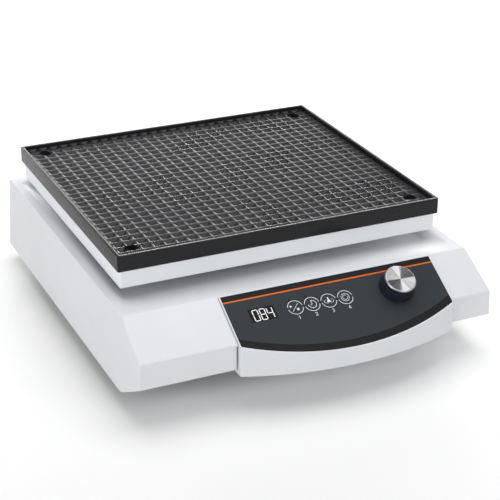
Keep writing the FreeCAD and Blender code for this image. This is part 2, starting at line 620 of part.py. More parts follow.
def motor_screws():
    return group([pan_head_screw(1.95, 3.5, 3.0, PLATE_TOP, PLATE_BOTTOM - 7, x, y) for x, y in MOTOR_SCREWS])


def motor_shaft():
    return rod(MOTOR_SHAFT - RUN_FIT, FLOOR + 6.5, BELT_BOTTOM + BELT_WIDTH + 2.5, *MOTOR)


def motor_pulley():
    return pulley(PULLEY_MOTOR, MOTOR_SHAFT - RUN_FIT + SEAT_FIT, BELT_THICKNESS + 1.0, *MOTOR)


def belt_outline(grow, z0, z1):
    """Convex outline round both pulleys, at a distance outside their faces."""
    big = PULLEY_MAIN + grow
    small = PULLEY_MOTOR + grow
    tilt = math.degrees(math.acos((big - small) / IDLER_RADIUS))

    def point(centre, radius, angle):
        a = math.radians(angle)
        return vec(centre[0] + radius * math.cos(a), centre[1] + radius * math.sin(a), z0)
    main = (0.0, CRANK_Y)
    a0, a1 = MOTOR_ANGLE + tilt, MOTOR_ANGLE - tilt
    edges = [Part.Arc(point(main, big, a0), point(main, big, MOTOR_ANGLE + 180), point(main, big, a1)).toShape(),
             Part.LineSegment(point(main, big, a1), point(MOTOR, small, a1)).toShape(),
             Part.Arc(point(MOTOR, small, a1), point(MOTOR, small, MOTOR_ANGLE), point(MOTOR, small, a0)).toShape(),
             Part.LineSegment(point(MOTOR, small, a0), point(main, big, a0)).toShape()]
    return Part.Face(Part.Wire(edges)).extrude(vec(0, 0, z1 - z0))


def drive_belt():
    z0 = BELT_BOTTOM
    z1 = z0 + BELT_WIDTH
    return belt_outline(BELT_CLEAR + BELT_THICKNESS, z0, z1).cut(belt_outline(BELT_CLEAR, z0 - 1, z1 + 1).common(
        box(-400, 400, -400, 400, z0 - 2, z1 + 2)))


def speed_sensor():
    """Slotted sensor on a bracket beside the main pulley's lower flange."""
    x = -PULLEY_MAIN - 12
    foot = box(x - 14, x + 2, CRANK_Y - 8, CRANK_Y + 8, PLATE_TOP, PLATE_TOP + 2)
    post = box(x - 2, x + 2, CRANK_Y - 8, CRANK_Y + 8, PLATE_TOP, BELT_BOTTOM + 6)
    head = box(x, x + 6.5, CRANK_Y - 5, CRANK_Y + 5, BELT_BOTTOM - 4, BELT_BOTTOM + 6)
    return fuse([foot, post, head])


# ------------------------------------------------------------------ platform
CARRIER_SCREWS = [(sx * (CARRIER[0] - 9), PLATFORM_Y + sy * (CARRIER[1] - 9)) for sx in (-1, 1) for sy in (-1, 0, 1)]
PINS = [(x, y + ORBIT_RADIUS) for x, y in IDLERS]
HUB_LEVEL = WEB_TOP + 0.8


def platform_tray():
    half_x = PLATFORM_WIDTH / 2
    half_y = PLATFORM_DEPTH / 2
    solid = slab(-half_x, half_x, PLATFORM_Y - half_y, PLATFORM_Y + half_y, FLANGE_BOTTOM, SHEET_TOP, PLATFORM_CORNER)
    t = PLATFORM_SHEET
    hollow = slab(-half_x + t, half_x - t, PLATFORM_Y - half_y + t, PLATFORM_Y + half_y - t,
                  FLANGE_BOTTOM - 1, SHEET_BOTTOM, max(PLATFORM_CORNER - t, 0.5))
    holes = [rod(BUSH_RADIUS + SEAT_FIT, 0, 200, x, y) for x, y in ACCESSORY_HOLES]
    holes += [rod(2.0 + SEAT_FIT, 0, 200, x, y) for x, y in CARRIER_SCREWS]
    return cut(solid, [hollow] + holes)


def platform_bushes():
    bushes = []
    for x, y in ACCESSORY_HOLES:
        bush = rod(BUSH_RADIUS, SHEET_BOTTOM - 9, SHEET_TOP, x, y).fuse(
            rod(BUSH_RADIUS + 1.8, SHEET_BOTTOM - 2.0, SHEET_BOTTOM, x, y))
        bushes.append(bush.cut(rod(ACCESSORY_THREAD, SHEET_BOTTOM - 20, SHEET_TOP + 1, x, y)))
    return group(bushes)


def platform_carrier():
    """Cast cross-plate under the sheet, with a boss for each bearing and ribs between them."""
    plate = slab(-CARRIER[0], CARRIER[0], PLATFORM_Y - CARRIER[1], PLATFORM_Y + CARRIER[1],
                 CARRIER_BOTTOM, SHEET_BOTTOM, 10.0)
    dx, dy = CARRIER_WINDOW[0] / 2, CARRIER_WINDOW[1] / 2
    middle = PLATFORM_Y + CARRIER_WINDOW_PLACE[1]
    windows = [slab(x - dx, x + dx, middle - dy, middle + dy, CARRIER_BOTTOM - 1, SHEET_BOTTOM + 1, 6.0)
               for x in (-CARRIER_WINDOW_PLACE[0], CARRIER_WINDOW_PLACE[0])]
    hub = rod(CARRIER_HUB, HUB_LEVEL, SHEET_BOTTOM, 0, PLATFORM_Y)
    bosses = [rod(CARRIER_BOSS, IDLER_WEB_TOP + 2.0, SHEET_BOTTOM, x, y) for x, y in PINS]
    solid = fuse([cut(plate, windows), hub] + bosses)
    seat = rod(HUB_BEARING[1], HUB_LEVEL - 1, HUB_LEVEL + HUB_BEARING[2], 0, PLATFORM_Y)
    relief = rod(HUB_BEARING[1] - 3, HUB_LEVEL - 1, SHEET_BOTTOM - 0.8, 0, PLATFORM_Y)
    cuts = [seat, relief]
    for x, y in PINS:
        cuts.append(rod(PIN_BEARING[1], IDLER_WEB_TOP, IDLER_WEB_TOP + 2.5 + PIN_BEARING[2], x, y))
        cuts.append(rod(PIN_BEARING[1] - 2.5, IDLER_WEB_TOP, CARRIER_BOTTOM + 1.2, x, y))
    cuts += [rod(2.2, 0, 200, x, y) for x, y in CARRIER_SCREWS]
    return cut(solid, cuts)


def hub_bearing():
    return bearing(HUB_BEARING, HUB_LEVEL, 0, PLATFORM_Y)


def pin_bearings():
    return group([bearing(PIN_BEARING, IDLER_WEB_TOP + 2.5, x, y) for x, y in PINS])


def carrier_screws():
    return group([pan_head_screw(2.0, 3.8, 2.6, CARRIER_BOTTOM, SHEET_TOP - 0.1, x, y) for x, y in CARRIER_SCREWS])


def corner_pad_box(x, y, grow, z0, z1):
    """The corner of the mat round one accessory hole, out to the rim."""
    spans = []
    for place, middle, half in ((x, 0, PLATFORM_WIDTH / 2), (y, PLATFORM_Y, PLATFORM_DEPTH / 2)):
        side = 1 if place > middle else -1
        outer = middle + side * (half + MAT_SKIRT - MAT_RIM_WIDTH + grow)
        spans += sorted((outer, place - side * (MAT_INSERT + grow)))
    return box(*spans, z0, z1)


def mat_corner_pads():
    z0, z1 = SHEET_TOP, SHEET_TOP + MAT_FLOOR
    return group([corner_pad_box(x, y, -MAT_INSERT_GAP, z0, z1).cut(rod(MAT_HOLE, z0 - 1, z1 + 1, x, y))
                  for x, y in ACCESSORY_HOLES])


def non_slip_mat():
    half_x = PLATFORM_WIDTH / 2 + MAT_SKIRT
    half_y = PLATFORM_DEPTH / 2 + MAT_SKIRT
    top = SHEET_TOP + MAT_FLOOR + MAT_RIM_HEIGHT
    solid = slab(-half_x, half_x, PLATFORM_Y - half_y, PLATFORM_Y + half_y, SHEET_TOP - MAT_OVERLAP, top, MAT_CORNER)
    inner_x = PLATFORM_WIDTH / 2 + MAT_FIT
    inner_y = PLATFORM_DEPTH / 2 + MAT_FIT
    pocket = slab(-inner_x, inner_x, PLATFORM_Y - inner_y, PLATFORM_Y + inner_y, SHEET_TOP - MAT_OVERLAP - 1,
                  SHEET_TOP, PLATFORM_CORNER)
    rim = MAT_RIM_WIDTH
    well = slab(-half_x + rim, half_x - rim, PLATFORM_Y - half_y + rim, PLATFORM_Y + half_y - rim,
                SHEET_TOP + MAT_FLOOR, top + 1, 1.0)
    corners = [corner_pad_box(x, y, 0, SHEET_TOP - 1, top + 1) for x, y in ACCESSORY_HOLES]
    return cut(solid, [pocket, well] + corners)


# ------------------------------------------------------------------ console pieces
BOARD_POSTS = [(BOARD_LEFT + 6, BOARD_UPPER + 6), (BOARD_LEFT + 6, BOARD_LOWER - 6),
               (BOARD_RIGHT - 6, BOARD_UPPER + 6), (BOARD_RIGHT - 6, BOARD_LOWER - 6)]
UNDER_PANEL = PANEL - CONSOLE_WALL
SWITCH_TOP = BOARD_LEVEL + 4.3


def display_rect(grow, z0, z1):
    w, h = DISPLAY_SIZE
    return box(DISPLAY_X - w / 2 - grow, DISPLAY_X + w / 2 + grow, -DISPLAY_DOWN - h / 2 - grow,
               -DISPLAY_DOWN + h / 2 + grow, z0, z1)


def console_bezel():
    solid = console_block(0, PANEL, CONSOLE_TOP_EDGE, CONSOLE_FLOOR, CONSOLE_TUCK)
    hollow = console_plan(CONSOLE_WALL, CONSOLE_FLOOR + CONSOLE_WALL, TOP + 40, SLOPE_TOP + 60)
    hollow = hollow.common(below_panel(UNDER_PANEL))
    hollow = hollow.common(on_panel(box(-400, 400, -400, -CONSOLE_TOP_EDGE - CONSOLE_WALL, -400, 400)))
    posts = [on_panel(rod(3.2, BOARD_LEVEL, UNDER_PANEL + 0.2, x, -down)) for x, down in BOARD_POSTS]
    ears = []
    for x, down in CONSOLE_EARS:
        side = -1 if x < CONSOLE_MIDDLE else 1
        inner = x - side * 6
        ears.append(on_panel(box(min(inner, x + side * 4), max(inner, x + side * 4), -down - 5, -down + 5,
                                 -WALL - 3.2, -WALL - 0.1)))
    solid = fuse([solid.cut(hollow)] + posts + ears)
    recess = console_plan(OVERLAY_INSET, CONSOLE_FLOOR, TOP + 40, SLOPE_TOP + 20)
    recess = recess.common(on_panel(box(-400, 400, -400, -CONSOLE_TOP_EDGE - OVERLAY_INSET,
                                        PANEL - OVERLAY_THICKNESS, 400)))
    tools = [recess, on_panel(display_rect(0.2, UNDER_PANEL - 1, PANEL + 1))]
    tools += [on_panel(rod(KEY_RADIUS + KEY_GAP, UNDER_PANEL - 0.5, PANEL + 1, x, -KEY_DOWN)) for x in KEYS_X]
    tools += [on_panel(rod(LED_RADIUS + 0.2, UNDER_PANEL - 1, PANEL + 1, x, -LED_DOWN)) for x in LEDS_X]
    tools += [on_panel(rod(3.7, UNDER_PANEL - 1, PANEL + 1, KNOB_X, -KNOB_DOWN))]
    tools += [on_panel(rod(1.1, BOARD_LEVEL - 1, -1.5, x, -down)) for x, down in BOARD_POSTS]
    tools += [on_panel(rod(1.5, -30, -WALL, x, -down)) for x, down in CONSOLE_EARS]
    return cut(solid, tools)


def panel_overlay():
    inset = OVERLAY_INSET + 0.1
    sheet = console_plan(inset, CONSOLE_FLOOR, TOP + 40, SLOPE_TOP + 20)
    sheet = sheet.common(on_panel(box(-400, 400, -400, -CONSOLE_TOP_EDGE - inset, PANEL - OVERLAY_THICKNESS, PANEL)))
    tools = [on_panel(display_rect(0.2, -1, PANEL + 1))]
    tools += [on_panel(rod(KEY_RADIUS + KEY_GAP, -1, PANEL + 1, x, -KEY_DOWN)) for x in KEYS_X]
    tools += [on_panel(rod(LED_RADIUS + 0.2, -1, PANEL + 1, x, -LED_DOWN)) for x in LEDS_X]
    tools += [on_panel(rod(5.2, -1, PANEL + 1, KNOB_X, -KNOB_DOWN))]
    return cut(sheet, tools)


def display_window():
    return on_panel(display_rect(0, PANEL - 2.6, PANEL))


def display_module():
    return on_panel(display_rect(0.6, BOARD_LEVEL, PANEL - 2.8))


def control_board():
    board = box(BOARD_LEFT, BOARD_RIGHT, -BOARD_LOWER, -BOARD_UPPER, BOARD_LEVEL - BOARD_THICKNESS, BOARD_LEVEL)
    return on_panel(cut(board, [rod(1.3, BOARD_LEVEL - 5, BOARD_LEVEL + 1, x, -down) for x, down in BOARD_POSTS]))


def board_screws():
    screws = []
    for x, down in BOARD_POSTS:
        seat = BOARD_LEVEL - BOARD_THICKNESS
        screws.append(on_panel(pan_head_screw(1.05, 2.4, 1.6, seat, BOARD_LEVEL + 5, x, -down)))
    return group(screws)


def tact_switches():
    switches = []
    for x in KEYS_X:
        can = box(x - 3, x + 3, -KEY_DOWN - 3, -KEY_DOWN + 3, BOARD_LEVEL, BOARD_LEVEL + 3.5)
        switches.append(on_panel(can.fuse(rod(1.75, BOARD_LEVEL + 3.4, SWITCH_TOP, x, -KEY_DOWN))))
    return group(switches)


def key(x):
    """Flush round key with a retaining bar under the panel and a stem to its switch."""
    cap = rod(KEY_RADIUS, UNDER_PANEL - 1.2, PANEL, x, -KEY_DOWN)
    bar = box(x - 0.6, x + 3.0, -KEY_DOWN - KEY_RADIUS - 2, -KEY_DOWN + KEY_RADIUS + 2, UNDER_PANEL - 1.2,
              UNDER_PANEL - 0.1)
    stem = rod(2.2, SWITCH_TOP + KEY_TRAVEL + 0.05, UNDER_PANEL - 1.0, x, -KEY_DOWN)
    return on_panel(fuse([cap, bar, stem]))


def indicator_leds():
    leds = [on_panel(rod(LED_RADIUS, BOARD_LEVEL, PANEL - 0.1, x, -LED_DOWN)) for x in LEDS_X]
    return group(leds)


def console_screws():
    screws = [on_panel(pan_head_screw(1.15, 2.6, 1.8, -WALL - 3.2, -0.8, x, -down)) for x, down in CONSOLE_EARS]
    return group(screws)


def encoder_body():
    can = box(KNOB_X - 6.5, KNOB_X + 6.5, -KNOB_DOWN - 6.5, -KNOB_DOWN + 6.5, BOARD_LEVEL, UNDER_PANEL - 0.2)
    bush = rod(3.5, UNDER_PANEL - 1, PANEL + 4.5, KNOB_X, -KNOB_DOWN)
    return on_panel(can.fuse(bush).cut(rod(ENCODER_SHAFT + RUN_FIT, BOARD_LEVEL + 2, PANEL + 10, KNOB_X, -KNOB_DOWN)))


def encoder_nut():
    low = PANEL - OVERLAY_THICKNESS
    nut = hexagon(9.0, low, low + 2.2, KNOB_X, -KNOB_DOWN)
    return on_panel(nut.cut(rod(3.5 + SEAT_FIT, low - 1, low + 5, KNOB_X, -KNOB_DOWN)))


KNOB_BOTTOM = PANEL + 0.4
KNOB_TOP = PANEL + KNOB_HEIGHT


def encoder_shaft():
    return on_panel(rod(ENCODER_SHAFT, BOARD_LEVEL + 2.2, KNOB_TOP - 4.0, KNOB_X, -KNOB_DOWN))


def knob_body():
    skirt = KNOB_TOP - KNOB_CAP_THICKNESS
    solid = cone(KNOB_RADIUS, KNOB_CAP_RADIUS + 0.4, KNOB_BOTTOM, skirt, KNOB_X, -KNOB_DOWN)
    hollow = ring(5.2, KNOB_RADIUS - 3.0, KNOB_BOTTOM - 1, skirt - 3, KNOB_X, -KNOB_DOWN)
    relief = rod(6.2, KNOB_BOTTOM - 1, PANEL + 5.2, KNOB_X, -KNOB_DOWN)
    bore = rod(ENCODER_SHAFT + SEAT_FIT, KNOB_BOTTOM - 1, KNOB_TOP - 3.8, KNOB_X, -KNOB_DOWN)
    return on_panel(cut(solid, [hollow, relief, bore]))


def knob_cap():
    low = KNOB_TOP - KNOB_CAP_THICKNESS
    disc = rod(KNOB_CAP_RADIUS, low, KNOB_TOP - 0.7, KNOB_X, -KNOB_DOWN)
    chamfer = cone(KNOB_CAP_RADIUS, KNOB_CAP_RADIUS - 0.7, KNOB_TOP - 0.7, KNOB_TOP, KNOB_X, -KNOB_DOWN)
    return on_panel(disc.fuse(chamfer).removeSplitter())


# ------------------------------------------------------------------ electronics and mains side
PORT_PLANE = BACK - PORT_RECESS
SOCKET_Z = INLET_Z + INLET_FLANGE[1] / 2 - 3.0 - INLET_SOCKET[1] / 2
DRAWER_Z = SOCKET_Z - INLET_SOCKET[1] / 2 - 3.0 - DRAWER[1] / 2
INLET_FACE = PORT_PLANE + 2.0
ROCKER_AXIS_Y = INLET_FACE - 5.0
ROCKER_NOSE = 5.6           # the pressed-in face, out from the rocker's axis


def centred(x, z, width, height, y0, y1):
    return box(x - width / 2, x + width / 2, y0, y1, z - height / 2, z + height / 2)


def power_inlet():
    """Mains socket with a fuse drawer below it, clipped into the rear panel."""
    flange = centred(INLET_X, INLET_Z, INLET_FLANGE[0], INLET_FLANGE[1], PORT_PLANE, INLET_FACE)
    body = centred(INLET_X, INLET_Z, INLET_FLANGE[0] - 4.4, INLET_FLANGE[1] - 4.4, INLET_FACE - 24, INLET_FACE)
    socket = centred(INLET_X, SOCKET_Z, INLET_SOCKET[0], INLET_SOCKET[1], INLET_FACE - INLET_SOCKET[2], INLET_FACE + 1)
    slot = centred(INLET_X, DRAWER_Z, DRAWER[0] + 0.4, DRAWER[1] + 0.4, INLET_FACE - DRAWER[2] - 0.3, INLET_FACE + 1)
    return cut(flange.fuse(body).removeSplitter(), [socket, slot])


def inlet_pins():
    """Earth blade above, the two supply blades below."""
    bottom = INLET_FACE - INLET_SOCKET[2]
    places = [(0.0, 2.6), (-7.0, -1.4), (7.0, -1.4)]
    return group([centred(INLET_X + dx, SOCKET_Z + dz, 2.0, 4.0, bottom, bottom + 10.0) for dx, dz in places])


def fuse_drawer():
    front = centred(INLET_X, DRAWER_Z, DRAWER[0], DRAWER[1], INLET_FACE - 3, INLET_FACE)
    tray = centred(INLET_X, DRAWER_Z, DRAWER[0] - 4, DRAWER[1], INLET_FACE - DRAWER[2], INLET_FACE - 2.9)
    hollow = centred(INLET_X, DRAWER_Z + 1.2, DRAWER[0] - 7, DRAWER[1], INLET_FACE - DRAWER[2] + 1.5, INLET_FACE - 4)
    grip = centred(INLET_X, DRAWER_Z, 8.0, 1.6, INLET_FACE - 1.0, INLET_FACE + 1)
    return fuse([front, tray]).cut(hollow).cut(grip)


def switch_frame():
    flange = centred(SWITCH_X, INLET_Z, SWITCH_FLANGE[0], SWITCH_FLANGE[1], PORT_PLANE, INLET_FACE)
    body = centred(SWITCH_X, INLET_Z, SWITCH_FLANGE[0] - 3.4, SWITCH_FLANGE[1] - 3.4, INLET_FACE - 22, INLET_FACE)
    well = along_x(rod(ROCKER_RADIUS + 0.3, -ROCKER_WIDTH / 2 - 0.3, ROCKER_WIDTH / 2 + 0.3),
                   SWITCH_X, ROCKER_AXIS_Y, INLET_Z)
    mouth = centred(SWITCH_X, INLET_Z, ROCKER_WIDTH + 0.6, 2 * (ROCKER_RADIUS + 0.3), ROCKER_AXIS_Y, INLET_FACE + 1)
    return cut(flange.fuse(body).removeSplitter(), [well, mouth])


def switch_rocker():
    """Rocker whose lower half is pressed in at rest; both faces stay inside its own swing."""
    round_part = along_x(rod(ROCKER_RADIUS, -ROCKER_WIDTH / 2, ROCKER_WIDTH / 2), SWITCH_X, ROCKER_AXIS_Y, INLET_Z)
    reach = 20.0
    tilt = math.radians(2 * ROCKER_TILT)
    upper = (ROCKER_AXIS_Y + ROCKER_NOSE + reach * math.sin(tilt), INLET_Z + reach * math.cos(tilt))
    points = [(ROCKER_AXIS_Y - reach, INLET_Z - reach), (ROCKER_AXIS_Y - reach, upper[1]), upper,
              (ROCKER_AXIS_Y + ROCKER_NOSE, INLET_Z), (ROCKER_AXIS_Y + ROCKER_NOSE, INLET_Z - reach)]
    return round_part.common(profile_block(points, SWITCH_X - 10, SWITCH_X + 10))


SUPPLY = (-134.0, -34.0, UNDERCUT_BACK + 9.0, UNDERCUT_BACK + 62.0)
DRIVER = (6.0, 92.0, UNDERCUT_BACK + 9.0, UNDERCUT_BACK + 55.0)


def circuit_board(area):
    """Board on four moulded posts, which are the solids below it."""
    x0, x1, y0, y1 = area
    level = FLOOR + 6.0
    board = box(x0, x1, y0, y1, level, level + BOARD_THICKNESS)
    posts = [rod(3.0, FLOOR, level + 0.2, x, y) for x in (x0 + 5, x1 - 5) for y in (y0 + 5, y1 - 5)]
    return fuse([board] + posts), level + BOARD_THICKNESS


def power_supply_board():
    return circuit_board(SUPPLY)[0]


def power_supply_parts():
    """Transformer, two storage capacitors, choke and heat sink on the supply board."""
    x0, x1, y0, y1 = SUPPLY
    level = circuit_board(SUPPLY)[1]
    core = box(x0 + 30, x0 + 60, y0 + 12, y0 + 42, level, level + 17)
    capacitors = [rod(7.5, level, level + 20, x0 + 14, y0 + d) for d in (17, 36)]
    sink = box(x0 + 70, x0 + 74, y0 + 8, y1 - 8, level, level + 20)
    fins = [box(x0 + 74, x0 + 82, y0 + 8 + 7 * i, y0 + 10 + 7 * i, level, level + 20) for i in range(6)]
    return group([core] + capacitors + [fuse([sink] + fins)])


def motor_driver_board():
    """Driver board with its bridge chips and connector."""
    board, level = circuit_board(DRIVER)
    x0, x1, y0, y1 = DRIVER
    chips = [box(x0 + 14 + 18 * i, x0 + 24 + 18 * i, y0 + 18, y0 + 28, level - 0.1, level + 3) for i in range(3)]
    plug = box(x1 - 30, x1 - 12, y1 - 12, y1 - 4, level - 0.1, level + 8)
    return fuse([board] + chips + [plug])


# ------------------------------------------------------------------ write every node
NODES = {
    "housing_cover": housing_cover, "base_plate": base_plate, "rubber_feet": rubber_feet,
    "foot_screws": foot_screws, "cover_screws": cover_screws, "chassis_plate": chassis_plate,
    "chassis_pillars": chassis_pillars, "chassis_screws": chassis_screws,
    "main_bearing_housing": main_bearing_housing, "main_bearings": main_bearings,
    "bearing_housing_screws": housing_screws, "idler_housings": idler_housings,
    "idler_bearings": idler_bearings, "main_shaft": main_shaft, "main_pulley": main_pulley,
    "counterweight": counterweight, "clamp_bolt": clamp_bolt, "motor_body": motor_body,
    "motor_screws": motor_screws, "motor_shaft": motor_shaft, "motor_pulley": motor_pulley,
    "drive_belt": drive_belt, "speed_sensor": speed_sensor, "platform_tray": platform_tray,
    "platform_bushes": platform_bushes, "platform_carrier": platform_carrier, "hub_bearing": hub_bearing,
    "pin_bearings": pin_bearings, "carrier_screws": carrier_screws, "non_slip_mat": non_slip_mat,
    "mat_corner_pads": mat_corner_pads,
    "console_bezel": console_bezel, "panel_overlay": panel_overlay, "display_window": display_window,
    "display_module": display_module, "control_board": control_board, "board_screws": board_screws,
    "tact_switches": tact_switches, "indicator_leds": indicator_leds, "console_screws": console_screws,
    "encoder_body": encoder_body, "encoder_nut": encoder_nut, "encoder_shaft": encoder_shaft,
    "knob_body": knob_body, "knob_cap": knob_cap, "power_inlet": power_inlet, "inlet_pins": inlet_pins,
    "fuse_drawer": fuse_drawer, "switch_frame": switch_frame, "switch_rocker": switch_rocker,
    "power_supply_board": power_supply_board, "power_supply_parts": power_supply_parts,
    "motor_driver_board": motor_driver_board,
}


def main():
    os.makedirs("parts", exist_ok=True)
    shapes = {name: build() for name, build in NODES.items()}
    for i, (x, y) in enumerate(IDLERS):
        shapes["idler_crank_%d" % (i + 1)] = idler_crank(x, y)
    for i, x in enumerate(KEYS_X):
        shapes["key_%d" % (i + 1)] = key(x)
    for name, shape in shapes.items():
        shape.exportStep("parts/%s.step" % name)
        bounds = shape.BoundBox
        print("%-24s solids %2d valid %s  z %.1f to %.1f" % (name, len(shape.Solids), shape.isValid(),
                                                            bounds.ZMin, bounds.ZMax))


main()
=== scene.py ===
import json
import math

import bmesh
import bpy
from mathutils import Matrix, Vector


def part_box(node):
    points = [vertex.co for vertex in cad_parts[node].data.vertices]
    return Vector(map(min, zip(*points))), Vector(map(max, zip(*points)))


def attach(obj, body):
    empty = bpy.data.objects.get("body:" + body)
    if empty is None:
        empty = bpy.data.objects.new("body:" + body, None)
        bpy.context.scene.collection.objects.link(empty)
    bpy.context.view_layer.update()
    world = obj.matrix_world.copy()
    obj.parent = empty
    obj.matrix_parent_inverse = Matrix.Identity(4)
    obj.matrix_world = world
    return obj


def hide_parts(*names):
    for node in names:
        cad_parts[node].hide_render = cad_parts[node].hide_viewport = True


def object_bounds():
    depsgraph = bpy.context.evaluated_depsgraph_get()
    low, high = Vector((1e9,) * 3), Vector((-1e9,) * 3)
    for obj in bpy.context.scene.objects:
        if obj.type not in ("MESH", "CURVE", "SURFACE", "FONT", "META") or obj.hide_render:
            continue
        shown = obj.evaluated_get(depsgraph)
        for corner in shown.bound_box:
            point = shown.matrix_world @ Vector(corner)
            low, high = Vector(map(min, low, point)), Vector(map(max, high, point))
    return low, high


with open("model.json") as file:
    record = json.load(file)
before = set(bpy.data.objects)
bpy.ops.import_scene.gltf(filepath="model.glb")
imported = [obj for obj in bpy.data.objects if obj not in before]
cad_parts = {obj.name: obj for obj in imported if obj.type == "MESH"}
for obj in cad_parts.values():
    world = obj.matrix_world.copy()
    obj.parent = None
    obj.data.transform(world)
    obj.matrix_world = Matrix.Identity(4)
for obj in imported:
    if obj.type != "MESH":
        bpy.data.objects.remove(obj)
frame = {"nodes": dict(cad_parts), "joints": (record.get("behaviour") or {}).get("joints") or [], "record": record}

MM = 0.001
HAIR = 1e-7                  # metres; closer than this, two points of a turned or cut piece are one
NODES = frame["nodes"]
JOINTS = {j["name"]: j for j in frame["joints"]}
CAD_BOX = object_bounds()

# ------------------------------------------------------------------ camera and light
# The camera looks at its target; azimuth 0 looks along +Y, and the field is the whole width's angle.
CAMERA_TARGET = Vector((0.0, -22.6, 67.0)) * MM
CAMERA_DISTANCE = 1303.4 * MM
CAMERA_AZIMUTH = math.radians(-24.669)
CAMERA_ELEVATION = math.radians(24.943)
CAMERA_ROLL = math.radians(0.30)
CAMERA_FIELD = math.radians(19.184)
SENSOR_WIDTH = 36.0


def make_camera():
    az, el = CAMERA_AZIMUTH, CAMERA_ELEVATION
    back = Vector((math.sin(az) * math.cos(el), -math.cos(az) * math.cos(el), math.sin(el)))
    level = Vector((0, 0, 1)).cross(back).normalized()
    upright = back.cross(level)
    right = math.cos(CAMERA_ROLL) * level + math.sin(CAMERA_ROLL) * upright
    up = back.cross(right)
    data = bpy.data.cameras.new("camera")
    data.sensor_width = SENSOR_WIDTH
    data.lens = SENSOR_WIDTH / 2 / math.tan(CAMERA_FIELD / 2)
    camera = bpy.data.objects.new("camera", data)
    bpy.context.scene.collection.objects.link(camera)
    turn = Matrix((right, up, back)).transposed().to_4x4()
    camera.matrix_world = Matrix.Translation(CAMERA_TARGET + back * CAMERA_DISTANCE) @ turn
    bpy.context.scene.camera = camera


SKY_STRENGTH = 0.34
MIDDLE = (0.0, 0.0, 0.05)
# Area lights: name, place, aim, size and power, in metres and watts.
LIGHTS = (
    ("overhead", (0.15, 0.1, 1.7), MIDDLE, (1.8, 1.6), 20.0),
    ("backdrop", (0.8, 1.9, 0.30), (0.0, 0.0, 0.12), (3.6, 0.58), 58.0),
    ("left_fill", (-1.9, -0.9, 0.5), MIDDLE, (1.2, 0.9), 13.0),
    ("front_fill", (0.7, -2.1, 1.0), MIDDLE, (1.8, 1.2), 10.0),
)


def area_light(name, place, aim, size, power):
    data = bpy.data.lights.new(name, "AREA")
    data.shape = "RECTANGLE"
    data.size, data.size_y = size
    data.energy = power
    light = bpy.data.objects.new(name, data)
    bpy.context.scene.collection.objects.link(light)
    direction = Vector(aim) - Vector(place)
    light.location = place
    light.rotation_euler = direction.to_track_quat("-Z", "Y").to_euler()


def make_light():
    scene = bpy.context.scene
    scene.view_settings.view_transform = "Standard"
    world = bpy.data.worlds.new("studio")
    scene.world = world
    world.use_nodes = True
    sky = world.node_tree.nodes["Background"]
    sky.inputs["Color"].default_value = (1.0, 1.0, 1.0, 1.0)
    sky.inputs["Strength"].default_value = SKY_STRENGTH
    for light in LIGHTS:
        area_light(*light)


# ------------------------------------------------------------------ materials
def material(name, colour, roughness, metallic=0.0, specular=0.5):
    """A Principled material and its node tree, ready for detail."""
    mat = bpy.data.materials.new(name)
    mat.use_nodes = True
    tree = mat.node_tree
    shader = tree.nodes["Principled BSDF"]
    shader.inputs["Base Color"].default_value = (*colour, 1.0)
    shader.inputs["Roughness"].default_value = roughness
    shader.inputs["Metallic"].default_value = metallic
    shader.inputs["Specular IOR Level"].default_value = specular
    return mat, tree, shader


def add(tree, kind, **values):
    """A node with its named sockets, or else its own properties, set."""
    node = tree.nodes.new(kind)
    for key, value in values.items():
        socket = node.inputs.get(key.replace("_", " "))
        if socket is None:
            setattr(node, key, value)
        else:
            socket.default_value = value
    return node


def object_place(tree):
    """The object's own coordinates."""
    return add(tree, "ShaderNodeTexCoord").outputs["Object"]


def object_axes(tree):
    """X, Y and Z of the object's own coordinates, each by itself."""
    split = add(tree, "ShaderNodeSeparateXYZ")
    tree.links.new(object_place(tree), split.inputs[0])
    return tuple(split.outputs)


def noise(tree, scale, detail=3.0, stretch=None):
    """Noise over the object's own coordinates, in cells per metre."""
    source = object_place(tree)
    if stretch:
        mapping = add(tree, "ShaderNodeMapping", Scale=stretch)
        tree.links.new(source, mapping.inputs["Vector"])
        source = mapping.outputs["Vector"]
    texture = add(tree, "ShaderNodeTexNoise", Scale=scale, Detail=detail)
    tree.links.new(source, texture.inputs["Vector"])
    return texture.outputs["Fac"]


def ramp(tree, source, low, high, start=0.3, end=0.7):
    """Map a factor onto a range between two values, or between two colours."""
    if isinstance(low, tuple):
        node = add(tree, "ShaderNodeValToRGB")
        node.color_ramp.elements[0].position = start
        node.color_ramp.elements[1].position = end
        node.color_ramp.elements[0].color = (*low, 1.0)
        node.color_ramp.elements[1].color = (*high, 1.0)
        tree.links.new(source, node.inputs["Fac"])
        return node.outputs["Color"]
    node = add(tree, "ShaderNodeMapRange")
    spans = (("From Min", start), ("From Max", end), ("To Min", low), ("To Max", high))
    for key, value in spans:
        node.inputs[key].default_value = value
    tree.links.new(source, node.inputs["Value"])
    return node.outputs["Result"]


def bump(tree, shader, height, strength, distance):
    """Relief from a height, felt by the shader's normal."""
    node = add(tree, "ShaderNodeBump", Strength=strength, Distance=distance)
    tree.links.new(height, node.inputs["Height"])
    tree.links.new(node.outputs["Normal"], shader.inputs["Normal"])


def scaled(colour, factor):
    return tuple(c * factor for c in colour)


FINE_DETAIL = 2.0            # octaves of a fine grain
TONE_CELLS = 14.0            # cells per metre of the slow change of tone
TONE_DETAIL = 4.0
GRAIN_GLOSS = (-0.05, 0.06)  # how far the grain moves the roughness
GRAIN_RELIEF = 0.35


